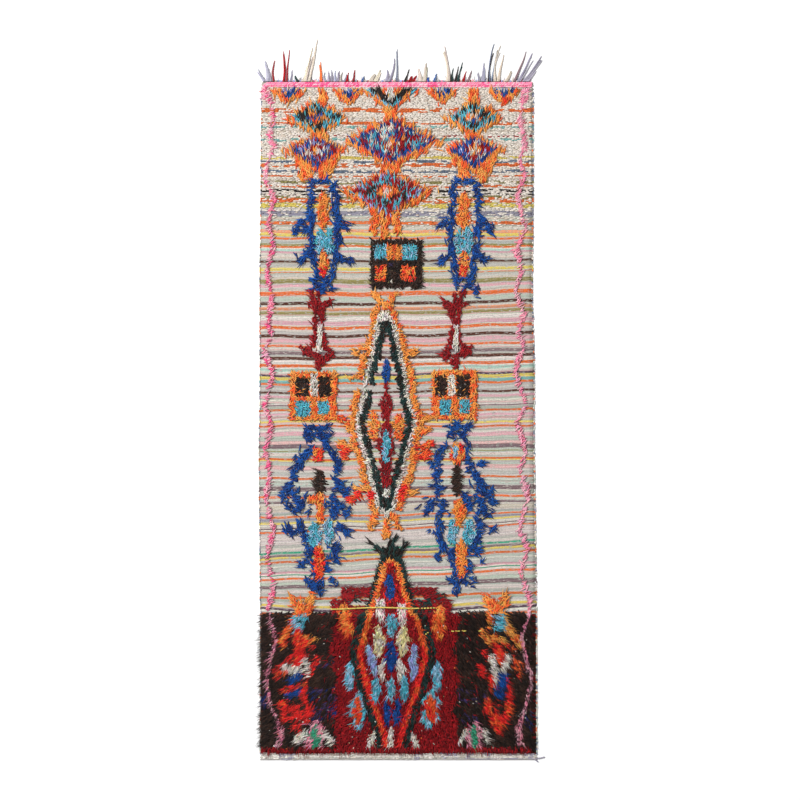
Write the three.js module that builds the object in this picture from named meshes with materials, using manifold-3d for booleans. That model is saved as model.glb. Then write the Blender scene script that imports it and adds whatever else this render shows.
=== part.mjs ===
// A flat-woven wool runner with knotted pile figures, a shag panel and a short warp fringe.
// Millimetres. The rug lies on z = 0. X runs across it and Y along it, towards the fringe.
// Places on the cloth are given as "across" (from the middle line) and "down" (from the top end).

import * as THREE from "three";
import { mergeVertices } from "three/addons/utils/BufferGeometryUtils.js";
import Module from "manifold-3d";

const wasm = await Module();
wasm.setup();

// Driving dimensions
const LENGTH = 2712;
const WIDTH = 1100;
const WEAVE = 4;
const PILE = 8;
const GAP = 0.3;
const SHORTEST_EDGE = 0.08;
const EDGE_STEP = 38;
const EDGE_BUMP = 2.2;
const SHAG = { from: 2130, to: 2686, height: 21, lump: 7, rim: 9, cell: 34 };
const TWINE = { wide: 20, high: 9, bead: 18, line: 11, start: -516, end: 539, drop: 11, bend: 18 };
const STRIP = { from: -541, to: 529, deep: 9, lift: 0.3, high: 5 };
const HEM_YARN = { line: 2706.5, from: 290, to: 558, wide: 8, high: 6 };

// The cloth's two long edges, which wander by a few millimetres
const SIDES = [
  { down: 0, left: -545, right: 540 },
  { down: 470, left: -548, right: 540 },
  { down: 830, left: -552, right: 536 },
  { down: 1190, left: -551, right: 545 },
  { down: 1470, left: -555, right: 544 },
  { down: 1910, left: -551, right: 550 },
  { down: 2130, left: -549, right: 554 },
  { down: LENGTH, left: -550, right: 555 },
];

// A repeatable value from 0 to 1 for any place on the rug
function chance(a, b) {
  const wave = Math.sin(a * 12.9898 + b * 78.233) * 43758.5453;
  return wave - Math.floor(wave);
}

// The same, from -1 to 1
function sway(a, b) {
  return 2 * chance(a, b) - 1;
}

// Reads a table's column at a height, straight between its rows
function between(rows, key, at, column) {
  const last = rows.length - 1;
  if (at <= rows[0][key]) return rows[0][column];
  if (at >= rows[last][key]) return rows[last][column];
  const next = rows.findIndex((row) => row[key] > at);
  const low = rows[next - 1];
  const high = rows[next];
  const share = (at - low[key]) / (high[key] - low[key]);
  return low[column] + share * (high[column] - low[column]);
}

function place(across, down) {
  return new THREE.Vector2(across, LENGTH / 2 - down);
}

// Turns a closed mesh into a solid that can be joined and cut
function solid(geometry) {
  const bare = geometry.clone();
  bare.deleteAttribute("normal");
  bare.deleteAttribute("uv");
  const merged = mergeVertices(bare, 1e-4);
  return new wasm.Manifold(
    new wasm.Mesh({
      numProp: 3,
      vertProperties: new Float32Array(merged.attributes.position.array),
      triVerts: new Uint32Array(merged.index.array),
    })
  );
}

// Joins solids into one and takes out edges too short to matter
function joined(solids) {
  return solids.reduce((all, one) => all.add(one)).simplify(SHORTEST_EDGE);
}

function geometryOf(body) {
  const mesh = body.getMesh();
  const geometry = new THREE.BufferGeometry();
  geometry.setAttribute("position", new THREE.BufferAttribute(mesh.vertProperties, 3));
  geometry.setIndex(new THREE.BufferAttribute(mesh.triVerts, 1));
  geometry.computeVertexNormals();
  return geometry;
}

// A flat outline raised from one height to another, its top uneven by rough
function slab(points, low, high, rough) {
  const body = new THREE.ExtrudeGeometry(new THREE.Shape(points), {
    depth: high - low,
    bevelEnabled: false,
  });
  body.translate(0, 0, low);
  const spots = body.attributes.position;
  for (let i = 0; i < spots.count; i += 1) {
    if (spots.getZ(i) > high - 1e-3) {
      spots.setZ(i, high + rough * sway(spots.getX(i), spots.getY(i)));
    }
  }
  return solid(body);
}

// A bar of a given section laid along a path: section x is its width, y its height
function laid(section, steps, path, width, height) {
  const body = new THREE.ExtrudeGeometry(new THREE.Shape(section), {
    depth: 1,
    steps,
    bevelEnabled: false,
  });
  const spots = body.attributes.position;
  for (let i = 0; i < spots.count; i += 1) {
    const along = Math.min(1, Math.max(0, spots.getZ(i)));
    const here = path(along);
    const ahead = path(Math.min(1, along + 0.001));
    const behind = path(Math.max(0, along - 0.001));
    const way = ahead.clone().sub(behind).normalize();
    const side = spots.getX(i) * width(along);
    const top = spots.getY(i) * height(along);
    spots.setXYZ(i, here.x - way.y * side, here.y + way.x * side, top);
  }
  return solid(body);
}

const RIDGE = [new THREE.Vector2(-0.5, 0), new THREE.Vector2(0.5, 0), new THREE.Vector2(0, 1)];
const ROUNDED = [
  new THREE.Vector2(-0.5, 0),
  new THREE.Vector2(0.5, 0),
  new THREE.Vector2(0.28, 1),
  new THREE.Vector2(-0.28, 1),
];

// One yarn end lying on a level: a three-sided strand from a root to a tip, bowed sideways
function strand(root, tip, wide, high, bow, level, steps) {
  const middle = root.clone().lerp(tip, 0.5);
  const across = new THREE.Vector2(tip.y - root.y, root.x - tip.x).multiplyScalar(bow);
  const curve = new THREE.QuadraticBezierCurve(root, middle.add(across), tip);
  const thin = (share) => 1 - 0.8 * share * share;
  const body = laid(
    RIDGE,
    steps,
    (t) => curve.getPoint(t),
    (t) => wide * thin(t),
    (t) => high * thin(t)
  );
  return body.translate([0, 0, level]);
}

// The flat weave

// The cloth's edge bulges where each coloured weft turns back
function sidePoints(column, sign) {
  const points = [];
  const first = 70;
  const last = LENGTH - 34;
  const count = Math.round((last - first) / EDGE_STEP);
  for (let i = 0; i <= count; i += 1) {
    const down = first + ((last - first) * i) / count;
    const bump = EDGE_BUMP * sway(i, sign * 3);
    points.push(place(between(SIDES, "down", down, column) + bump, down));
  }
  return points;
}

function clothOutline() {
  const top = TWINE.line + TWINE.wide / 2 + GAP;
  const notch = TWINE.start - TWINE.bend + TWINE.wide / 2 + GAP;
  const yarnTop = HEM_YARN.line - HEM_YARN.wide / 2 - GAP;
  const twineFoot = TWINE.line + TWINE.bend + TWINE.drop + GAP;
  const corner = [
    place(SIDES[0].left - 1, twineFoot),
    place(notch, twineFoot),
    place(notch, TWINE.line + TWINE.bend + 1),
    place(TWINE.start + 1, top),
    place(TWINE.end, top),
  ];
  const foot = SIDES[SIDES.length - 1];
  const hem = [
    place(foot.right - 1, yarnTop - 0.2),
    place(HEM_YARN.from - 2, yarnTop),
    place(HEM_YARN.from - 14, LENGTH - 1),
    place(0, LENGTH - 2),
    place(foot.left + 250, LENGTH),
    place(foot.left + 30, LENGTH - 2),
    place(foot.left + 17, LENGTH - 4),
    place(foot.left + 4, LENGTH - 16),
  ];
  const right = sidePoints("right", 1);
  const left = sidePoints("left", -1).reverse();
  return [...corner, ...right, ...hem, ...left];
}

// The knotted figures

// The ragged rim of a figure whose half widths are listed down its middle line
function ragged(middle, rows, tooth, step) {
  const right = rows.map((row) => new THREE.Vector2(row.half, row.down));
  const left = rows.map((row) => new THREE.Vector2(-row.half, row.down)).reverse();
  const corners = [...right, ...left];
  const points = [];
  corners.forEach((from, i) => {
    const to = corners[(i + 1) % corners.length];
    const count = Math.max(1, Math.round(from.distanceTo(to) / step));
    for (let k = 0; k < count; k += 1) {
      const spot = from.clone().lerp(to, k / count);
      const out = (points.length % 2 ? 1 : -0.6) * tooth * (0.5 + 0.5 * chance(i, k));
      const half = Math.max(2.5, Math.abs(spot.x) + out) * Math.sign(spot.x || 1);
      const wander = 0.3 * tooth * sway(k + middle, i);
      points.push(place(middle + half, spot.y + wander));
    }
  });
  return points;
}

function figure(middle, rows, tooth = 4, step = 30) {
  return slab(ragged(middle, rows, tooth, step), WEAVE - 1, WEAVE + PILE, 1.6);
}

// Lozenge: widest at its middle, drawn out to a point above and below
function lozenge(down, reach, half) {
  return [
    { down: down - reach, half: 12 },
    { down, half },
    { down: down + reach, half: 12 },
  ];
}

function box(from, to, half) {
  return [
    { down: from, half },
    { down: to, half },
  ];
}

const HALF_LOZENGES = [
  { across: -436, half: 65, reach: 86 },
  { across: -198, half: 64, reach: 88 },
  { across: -28, half: 114, reach: 134 },
  { across: 180, half: 56, reach: 88 },
  { across: 420, half: 70, reach: 88 },
];

const LOZENGES = [
  { across: -320, down: 144, reach: 82, half: 124 },
  { across: 302, down: 144, reach: 82, half: 116 },
  { across: -30, down: 244, reach: 108, half: 196 },
  { across: -334, down: 272, reach: 70, half: 122 },
  { across: 304, down: 272, reach: 70, half: 118 },
  { across: -48, down: 442, reach: 90, half: 182 },
];

const PRONGED_FOOT = [
  { down: 0, half: 34 },
  { down: 26, half: 62 },
  { down: 52, half: 58 },
  { down: 80, half: 10 },
];

const FEET = [
  { across: -324, down: 318 },
  { across: 304, down: 318 },
  { across: -52, down: 530 },
  { across: -52, down: 1712 },
];

// The blue swimming figures: a round head, a body with fins in pairs, and a tail
const SMALL_SWIMMER = [
  { down: 380, half: 40 },
  { down: 420, half: 56 },
  { down: 545, half: 62 },
  { down: 560, half: 108 },
  { down: 600, half: 104 },
  { down: 622, half: 66 },
  { down: 664, half: 96 },
  { down: 724, half: 92 },
  { down: 752, half: 48 },
  { down: 800, half: 42 },
  { down: 838, half: 58 },
];

const LARGE_SWIMMER = [
  { down: 1372, half: 46 },
  { down: 1450, half: 40 },
  { down: 1520, half: 108 },
  { down: 1606, half: 112 },
  { down: 1650, half: 150 },
  { down: 1796, half: 150 },
  { down: 1836, half: 90 },
  { down: 1930, half: 88 },
  { down: 1956, half: 46 },
  { down: 2016, half: 44 },
  { down: 2042, half: 58 },
];

// The bare cloth inside the large swimmer's arms
const SWIMMER_HOLLOW = [
  { down: 1480, half: 14 },
  { down: 1530, half: 64 },
  { down: 1610, half: 74 },
  { down: 1650, half: 22 },
];

const HOURGLASS = [
  { down: 840, half: 30 },
  { down: 872, half: 62 },
  { down: 912, half: 38 },
  { down: 944, half: 20 },
  { down: 1002, half: 26 },
  { down: 1052, half: 48 },
  { down: 1088, half: 72 },
  { down: 1112, half: 36 },
  { down: 1140, half: 12 },
];

// The long nested lozenge in the middle: its outer rim, the bare cloth inside, and its core
const LONG_RIM = [
  { down: 832, half: 48 },
  { down: 908, half: 34 },
  { down: 992, half: 58 },
  { down: 1080, half: 92 },
  { down: 1156, half: 102 },
  { down: 1260, half: 120 },
  { down: 1336, half: 148 },
  { down: 1400, half: 130 },
  { down: 1456, half: 150 },
  { down: 1524, half: 108 },
  { down: 1604, half: 80 },
  { down: 1720, half: 44 },
];

const LONG_HOLLOW = [
  { down: 1010, half: 10 },
  { down: 1072, half: 38 },
  { down: 1172, half: 56 },
  { down: 1332, half: 94 },
  { down: 1432, half: 88 },
  { down: 1492, half: 70 },
  { down: 1612, half: 34 },
  { down: 1660, half: 8 },
];

const LONG_CORE = [
  { down: 1116, half: 8 },
  { down: 1150, half: 16 },
  { down: 1216, half: 10 },
  { down: 1262, half: 26 },
  { down: 1350, half: 28 },
  { down: 1400, half: 34 },
  { down: 1520, half: 30 },
  { down: 1600, half: 24 },
  { down: 1622, half: 8 },
];

// The crowned figure that rises out of the shag panel: spikes, neck and stepped shoulders
const CROWNED = [
  { down: 1818, half: 70 },
  { down: 1880, half: 42 },
  { down: 1940, half: 46 },
  { down: 2016, half: 82 },
  { down: 2028, half: 188 },
  { down: 2078, half: 200 },
  { down: 2090, half: 236 },
  { down: 2140, half: 236 },
];

const SQUARES = [
  { across: -8, from: 628, to: 822, half: 102 },
  { across: -340, from: 1160, to: 1352, half: 92 },
  { across: 226, from: 1156, to: 1348, half: 90 },
  { across: -384, from: 2066, to: 2136, half: 44 },
  { across: 392, from: 2060, to: 2136, half: 48 },
];

function figures() {
  const flame = 8;
  const cut = (rim, middle, rows) => {
    const hole = slab(ragged(middle, rows, 3, 42), WEAVE - 2, WEAVE + 2 * PILE, 0);
    return rim.subtract(hole);
  };
  const long = cut(figure(-46, LONG_RIM), -46, LONG_HOLLOW);
  const large = [-316, 248].map((across) =>
    cut(figure(across, LARGE_SWIMMER, 6), across, SWIMMER_HOLLOW)
  );
  return [
    ...HALF_LOZENGES.map(({ across, half, reach }) => {
      const rows = [
        { down: 26, half },
        { down: reach, half: 10 },
      ];
      return figure(across, rows, flame);
    }),
    ...LOZENGES.map(({ across, down, reach, half }) =>
      figure(across, lozenge(down, reach, half), flame)
    ),
    ...FEET.map(({ across, down }) => {
      const rows = PRONGED_FOOT.map((row) => ({ down: row.down + down, half: row.half }));
      return figure(across, rows, flame);
    }),
    ...[-310, 260].map((across) => figure(across, SMALL_SWIMMER, 6)),
    ...[-318, 232].map((across) => figure(across, HOURGLASS)),
    ...SQUARES.map(({ across, from, to, half }) => figure(across, box(from, to, half))),
    ...large,
    long,
    figure(-46, LONG_CORE, 3),
    ...[-316, 240].map((across) => figure(across, lozenge(1594, 54, 26))),
    figure(-28, CROWNED, flame),
  ];
}

// The two wavy lines of pink tufts, by their turning points
const LEFT_LINE = [
  { down: 40, across: -512 },
  { down: 144, across: -496 },
  { down: 220, across: -512 },
  { down: 260, across: -496 },
  { down: 392, across: -530 },
  { down: 472, across: -496 },
  { down: 572, across: -520 },
  { down: 652, across: -496 },
  { down: 752, across: -524 },
  { down: 872, across: -504 },
  { down: 972, across: -520 },
  { down: 1072, across: -536 },
  { down: 1160, across: -500 },
  { down: 1292, across: -532 },
  { down: 1384, across: -504 },
  { down: 1472, across: -532 },
  { down: 1552, across: -512 },
  { down: 1672, across: -528 },
  { down: 1792, across: -496 },
  { down: 1892, across: -524 },
  { down: 2012, across: -496 },
  { down: 2140, across: -520 },
];

const RIGHT_LINE = [
  { down: 40, across: 512 },
  { down: 144, across: 488 },
  { down: 260, across: 508 },
  { down: 312, across: 484 },
  { down: 372, across: 508 },
  { down: 456, across: 476 },
  { down: 532, across: 496 },
  { down: 592, across: 508 },
  { down: 672, across: 472 },
  { down: 760, across: 496 },
  { down: 832, across: 468 },
  { down: 932, across: 504 },
  { down: 1000, across: 480 },
  { down: 1052, across: 504 },
  { down: 1160, across: 468 },
  { down: 1292, across: 512 },
  { down: 1360, across: 476 },
  { down: 1484, across: 512 },
  { down: 1544, across: 488 },
  { down: 1660, across: 520 },
  { down: 1792, across: 484 },
  { down: 1864, across: 520 },
  { down: 1960, across: 488 },
  { down: 2140, across: 524 },
];

function tuftLine(rows) {
  const half = 9;
  const step = 34;
  const from = rows[0].down;
  const count = Math.round((rows[rows.length - 1].down - from) / step);
  const edge = (side) =>
    Array.from({ length: count + 1 }, (_, i) => {
      const down = from + i * step;
      const out = half + 3 * sway(i, side);
      return place(between(rows, "down", down, "across") + side * out, down + 3 * sway(side, i));
    });
  return slab([...edge(1), ...edge(-1).reverse()], WEAVE - 1, WEAVE + PILE - 2, 1);
}

// The shag panel: one lumpy mass of pile, with pointed locks at its rims

function shagMass() {
  const columns = Math.round(WIDTH / SHAG.cell);
  const lines = Math.round((SHAG.to - SHAG.from) / SHAG.cell);
  const body = new THREE.BoxGeometry(1, 1, 1, columns, lines, 1);
  const spots = body.attributes.position;
  for (let i = 0; i < spots.count; i += 1) {
    const side = spots.getX(i);
    const end = spots.getY(i);
    const down = SHAG.from + (0.5 - end) * (SHAG.to - SHAG.from);
    const left = between(SIDES, "down", down, "left") + 6;
    const right = between(SIDES, "down", down, "right") - 6;
    const rim = Math.abs(side) > 0.499 || Math.abs(end) > 0.499;
    const top = spots.getZ(i) > 0;
    const across = left + (side + 0.5) * (right - left);
    const shake = rim ? 3 : 7;
    const inward = rim && top ? SHAG.rim : 0;
    const x = across + shake * sway(side * 40, end * 40) - Math.sign(side) * inward;
    const y = down + shake * sway(end * 60, side * 30) + Math.sign(end) * inward * 0.6;
    const lump = SHAG.height + SHAG.lump * (chance(side * 77, end * 91) - 0.4);
    const z = top ? (rim ? SHAG.height * 0.62 : lump) : 1;
    const spot = place(x, y);
    spots.setXYZ(i, spot.x, spot.y, z);
  }
  return solid(body);
}

// A row of locks that start inside the shag and point outwards on the floor or the hem
function locks(count, spot, aim, shortest, level) {
  return Array.from({ length: count }, (_, i) => {
    const root = spot((i + 0.5) / count);
    const length = shortest * (1 + 0.4 * chance(i, count));
    const tip = root.clone().add(aim(i).setLength(length));
    return strand(root, tip, 15, 13, 0.05 * sway(count, i), level, 1);
  });
}

function rimLocks() {
  const rows = 27;
  const downAt = (share) => SHAG.from + 8 + share * (SHAG.to - SHAG.from - 20);
  const left = (share) => place(between(SIDES, "down", downAt(share), "left") + 20, downAt(share));
  const right = (share) => {
    const down = downAt(share);
    return place(between(SIDES, "down", down, "right") - 22, down);
  };
  const foot = (share) => place(-532 + share * 1072, SHAG.to - 18);
  return [
    ...locks(rows, left, (i) => new THREE.Vector2(-1, -0.35 + 0.3 * sway(i, 5)), 32, 0),
    ...locks(rows, right, (i) => new THREE.Vector2(1, -0.35 + 0.3 * sway(i, 6)), 32, 0),
    ...locks(44, foot, (i) => new THREE.Vector2(0.3 * sway(i, 7), -1), 23, WEAVE - 1),
  ];
}

function rugCloth() {
  const weave = slab(clothOutline(), 0, WEAVE, 0);
  return joined([
    weave,
    ...figures(),
    tuftLine(LEFT_LINE),
    tuftLine(RIGHT_LINE),
    shagMass(),
    ...rimLocks(),
  ]);
}

// The twined edge: a row of slanting beads that turns down at the left corner
function twinedEdge() {
  const corner = (Math.PI / 2) * TWINE.bend;
  const straight = TWINE.end - TWINE.start;
  const length = TWINE.drop + corner + straight;
  const path = (share) => {
    const run = share * length;
    if (run < TWINE.drop) {
      return place(TWINE.start - TWINE.bend, TWINE.line + TWINE.bend + TWINE.drop - run);
    }
    if (run < TWINE.drop + corner) {
      const turn = (run - TWINE.drop) / TWINE.bend;
      const across = TWINE.start - TWINE.bend * Math.cos(turn);
      return place(across, TWINE.line + TWINE.bend * (1 - Math.sin(turn)));
    }
    return place(TWINE.start + run - TWINE.drop - corner, TWINE.line);
  };
  const steps = 2 * Math.round(length / TWINE.bead);
  const swell = (share, least) => least + (1 - least) * (Math.round(share * steps) % 2);
  return laid(
    ROUNDED,
    steps,
    path,
    (t) => TWINE.wide * swell(t, 0.86),
    (t) => TWINE.high * swell(t, 0.72)
  );
}

// The warp ends. "out" is how far a strand reaches past the top end, "wide" its width at the root
const FRINGE = [
  { root: -533, tip: -560, out: 52, wide: 10 },
  { root: -523, tip: -534, out: 88, wide: 10 },
  { root: -512, tip: -519, out: 56, wide: 10 },
  { root: -498, tip: -492, out: 88, wide: 7 },
  { root: -458, tip: -461, out: 126, wide: 6 },
  { root: -446, tip: -434, out: 131, wide: 7 },
  { root: -429, tip: -424, out: 50, wide: 5 },
  { root: -400, tip: -412, out: 26, wide: 10 },
  { root: -384, tip: -370, out: 60, wide: 7 },
  { root: -370, tip: -340, out: 140, wide: 10 },
  { root: -356, tip: -324, out: 174, wide: 8 },
  { root: -308, tip: -312, out: 82, wide: 8 },
  { root: -288, tip: -293, out: 40, wide: 6 },
  { root: -277, tip: -280, out: 44, wide: 7 },
  { root: -265, tip: -266, out: 50, wide: 7 },
  { root: -253, tip: -251, out: 46, wide: 7 },
  { root: -241, tip: -237, out: 46, wide: 7 },
  { root: -229, tip: -223, out: 40, wide: 6 },
  { root: -216, tip: -208, out: 32, wide: 6 },
  { root: -203, tip: -199, out: 38, wide: 6 },
  { root: -181, tip: -174, out: 50, wide: 6 },
  { root: -142, tip: -136, out: 24, wide: 7 },
  { root: -108, tip: -92, out: 34, wide: 14 },
  { root: -90, tip: -70, out: 50, wide: 14 },
  { root: -48, tip: -43, out: 50, wide: 11 },
  { root: -36, tip: -14, out: 96, wide: 6 },
  { root: -5, tip: -6, out: 135, wide: 5 },
  { root: 28, tip: 45, out: 52, wide: 6 },
  { root: 46, tip: 54, out: 24, wide: 13 },
  { root: 62, tip: 72, out: 27, wide: 8 },
  { root: 88, tip: 82, out: 56, wide: 16 },
  { root: 104, tip: 112, out: 78, wide: 12 },
  { root: 122, tip: 120, out: 20, wide: 5 },
  { root: 146, tip: 155, out: 34, wide: 9 },
  { root: 200, tip: 184, out: 146, wide: 13 },
  { root: 216, tip: 220, out: 56, wide: 6 },
  { root: 228, tip: 240, out: 64, wide: 6 },
  { root: 240, tip: 258, out: 80, wide: 7 },
  { root: 262, tip: 272, out: 44, wide: 6 },
  { root: 277, tip: 292, out: 47, wide: 7 },
  { root: 324, tip: 318, out: 40, wide: 7 },
  { root: 338, tip: 342, out: 80, wide: 13 },
  { root: 364, tip: 384, out: 156, wide: 6 },
  { root: 376, tip: 396, out: 130, wide: 6 },
  { root: 388, tip: 410, out: 148, wide: 8 },
  { root: 401, tip: 422, out: 112, wide: 8 },
  { root: 430, tip: 452, out: 46, wide: 11 },
  { root: 464, tip: 512, out: 125, wide: 6 },
  { root: 484, tip: 538, out: 117, wide: 10 },
  { root: 502, tip: 574, out: 106, wide: 10 },
  { root: 517, tip: 552, out: 58, wide: 9 },
];

function warpFringe() {
  const line = TWINE.line - TWINE.wide / 2 - GAP;
  const ends = [
    place(STRIP.from, line),
    place(STRIP.to, line),
    place(STRIP.to, line - STRIP.deep),
    place(STRIP.from, line - STRIP.deep),
  ];
  const strands = FRINGE.map(({ root, tip, out, wide }, i) => {
    const from = place(root, line - 2);
    const to = place(tip, -out);
    return strand(from, to, wide, 4 + wide * 0.2, 0.04 * sway(i, 11), 0, 3);
  });
  return joined([slab(ends, STRIP.lift, STRIP.high, 0), ...strands]);
}

// The loose edge yarn at the hem's right corner, and the two tails it ends in
function hemYarn() {
  const from = place(HEM_YARN.from, HEM_YARN.line);
  const to = place(HEM_YARN.to, HEM_YARN.line);
  const run = laid(
    ROUNDED,
    12,
    (t) => from.clone().lerp(to, t),
    (t) => HEM_YARN.wide * (0.93 + 0.07 * Math.cos(40 * t)),
    (t) => HEM_YARN.high * (0.93 + 0.07 * Math.sin(40 * t))
  );
  const longTail = strand(place(HEM_YARN.to - 6, 2706.5), place(588, 2700), 6, 5, 0.12, 0, 4);
  const shortTail = strand(place(HEM_YARN.to - 8, 2707), place(561, 2721), 5, 4.5, 0, 0, 2);
  return joined([run, longTail, shortTail]);
}

const PIECES = [
  { name: "rug_cloth", body: rugCloth(), colour: 0xd3c8bd, roughness: 0.95 },
  { name: "twined_edge", body: twinedEdge(), colour: 0xee7fa5, roughness: 0.9 },
  { name: "warp_fringe", body: warpFringe(), colour: 0x8d8ba0, roughness: 0.9 },
  { name: "hem_yarn", body: hemYarn(), colour: 0x7e8ea6, roughness: 0.9 },
];

const rug = new THREE.Group();
for (const { name, body, colour, roughness } of PIECES) {
  const finish = new THREE.MeshStandardMaterial({ color: colour, roughness, metalness: 0 });
  const mesh = new THREE.Mesh(geometryOf(body), finish);
  mesh.name = name;
  rug.add(mesh);
}

export default rug;
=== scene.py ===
# %% [markdown]
# A hand-woven wool runner in Blender.
# A rug of this kind is made by hand on an upright loom. Most of it is a flat weave of thin
# coloured wefts. Figures of knotted pile stand on it, and the last half metre is deep shag.
# This lesson dresses the measured rug: the weave becomes a sheet of picks, and every tuft, loop
# and fringe end becomes a strand of yarn. Lengths in the tables are millimetres on the real rug.
# "Across" counts from the middle line, "down" from the top end, where the fringe is.

# %% Load the measured rug
import math

import bmesh
import bpy
import numpy as np
from mathutils import Matrix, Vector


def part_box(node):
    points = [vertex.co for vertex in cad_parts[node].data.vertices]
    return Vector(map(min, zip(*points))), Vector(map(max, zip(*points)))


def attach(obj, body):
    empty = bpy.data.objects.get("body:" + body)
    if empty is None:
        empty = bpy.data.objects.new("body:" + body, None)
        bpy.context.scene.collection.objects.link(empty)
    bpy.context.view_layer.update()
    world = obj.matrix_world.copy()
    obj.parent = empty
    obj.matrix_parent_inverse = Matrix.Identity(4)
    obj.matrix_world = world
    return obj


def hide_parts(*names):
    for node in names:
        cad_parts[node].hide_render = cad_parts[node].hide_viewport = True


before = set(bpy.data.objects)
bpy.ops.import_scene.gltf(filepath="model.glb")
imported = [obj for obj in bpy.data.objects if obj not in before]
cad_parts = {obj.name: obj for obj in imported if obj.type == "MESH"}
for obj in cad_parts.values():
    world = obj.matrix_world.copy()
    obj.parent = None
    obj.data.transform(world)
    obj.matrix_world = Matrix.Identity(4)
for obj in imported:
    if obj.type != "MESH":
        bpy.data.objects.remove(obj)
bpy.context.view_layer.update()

MM = 0.001
LENGTH = round(-2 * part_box("rug_cloth")[0].y / MM)
SHAG_TOP = 2130
SHAG_FOOT = 2686
rng = np.random.default_rng(7)
print(f"the woven part is {LENGTH} mm long")

# %% [markdown]
# Yarn colours.
# Each yarn is named once, with its colour as the eye sees it in daylight. A render adds up
# light, so the value is turned into linear light here, before it reaches any mesh.

# %% The weaver's yarns
YARNS = {
    "cream": "ded5ca", "white": "efeae2", "grey": "c3c0b9", "sage": "b9c1b3", "blush": "d8cbc5",
    "beige": "d2c5b5", "orange": "ffa34c", "flame": "ff6c36", "amber": "ffb860", "rust": "e0703a",
    "salmon": "dd9671", "red": "f02f2c", "yellow": "dcc665", "lemon": "e8dca4", "olive": "938a58",
    "brown": "5a372c", "mauve": "806a6e", "dusk": "5f4a58", "pink": "d8a6ae", "dusty": "dcb2ae",
    "rose": "ff98b4", "cerise": "f25c90", "shell": "fcbccb", "mint": "b3cfc2", "green": "3f9e7c",
    "teal": "7fb5b0", "turquoise": "58b2c6", "sky": "98bcd4", "blue": "18509c", "navy": "1a3474",
    "lavender": "9aa2d4", "heather": "a9a6b6", "wine": "9e161d", "burgundy": "84121b", "black": "2e2725",
    "umber": "3e2a22", "soot": "271c18", "pine": "213c3a", "purple": "42335e", "slate": "6c788a",
    "ash": "918e9d", "bone": "c2b6aa",
}
DARKEST = 0.002
BRIGHTEST = 0.95


def linear(code):
    """A colour code as three amounts of linear light, by the sRGB curve."""
    parts = [int(code[i:i + 2], 16) / 255 for i in (0, 2, 4)]
    return [p / 12.92 if p <= 0.04045 else ((p + 0.055) / 1.055) ** 2.4 for p in parts]


LIGHT = {name: np.array(linear(code)) for name, code in YARNS.items()}


def dyed(words, count):
    """Picks a yarn for each of count strands. A word that is repeated is picked more often."""
    palette = np.array([LIGHT[word] for word in words.split()])
    return palette[rng.integers(len(palette), size=count)]


def worn(colours, spread=0.13):
    """Hand dyeing leaves each strand a little lighter or darker, and a little warmer or cooler."""
    shade = rng.normal(1, spread, (len(colours), 1))
    tint = rng.normal(1, spread / 4, colours.shape)
    strands = np.maximum(colours * shade * tint, DARKEST)
    return strands / np.maximum(1, strands.max(axis=1, keepdims=True) / BRIGHTEST)


print(f"{len(YARNS)} yarns")

# %% [markdown]
# Where things lie.
# The long edges wander, and the wefts bow, because a hand loom never keeps an even pull. Two
# short tables hold this, and every later cell reads its places through them.

# %% The edges and the bow of the wefts
SIDES = np.array([
    # down, left, right
    (0, -545, 540),
    (470, -548, 540),
    (830, -552, 536),
    (1190, -551, 545),
    (1470, -555, 544),
    (1910, -551, 550),
    (2130, -549, 554),
    (2712, -550, 555),
], float)
BOW = np.array([
    # down at the left edge, how far the middle and the right end lie below it
    (0, 0, 0),
    (620, 0, 0),
    (888, 0, -14),
    (1140, -4, -20),
    (1244, -2, -10),
    (1360, 0, 0),
    (1590, -3, -12),
    (1690, -3, -9),
    (1770, -14, -30),
    (1890, -24, -56),
    (1995, -20, -46),
    (2028, -16, -32),
    (2070, -5, -24),
    (2110, 9, -14),
    (2220, 0, 0),
], float)


def column(table, at, index):
    """Reads a table's column, straight between its rows."""
    return np.interp(at, table[:, 0], table[:, index])


def bow(down, share):
    """How far below its left end a weft lies, at a share of the way across."""
    middle, right = column(BOW, down, 1), column(BOW, down, 2)
    return middle * 4 * share * (1 - share) + right * share * (2 * share - 1)


def share_of(across, down):
    """How far across the cloth a spot is, from 0 at the left edge to 1 at the right."""
    left, right = column(SIDES, down, 1), column(SIDES, down, 2)
    return (across - left) / (right - left)


def wobble(across, down):
    """Small waves that the beater leaves in every weft."""
    return 1.9 * np.sin(across / 68 + down / 83) + 1.3 * np.sin(across / 27 - down / 47)


def along_weft(across, down):
    """The place at the left edge of the weft that passes through a spot."""
    return down - bow(down, share_of(across, down)) - wobble(across, down)


def metres(across, down, height):
    """Turns places on the rug into points in the shared frame."""
    return np.stack([across * MM, (LENGTH / 2 - down) * MM, height * MM], axis=-1)


print("a weft at 1900 ends", round(float(bow(1900.0, 1.0))), "mm from where it starts")

# %% [markdown]
# The wefts.
# Between the figures the rug is striped: thin wefts of left-over yarn on a cream and grey
# ground. One table lists the stripes, by where the middle of each meets the left edge. What lies
# between them is drawn by lot, in runs of a pick or two, as when the next ball is reached for.
# Loops cover the top part, so a stripe is laid deeper there. A weave looks darker than its yarn
# in the ball, because light is lost between the picks.

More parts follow.
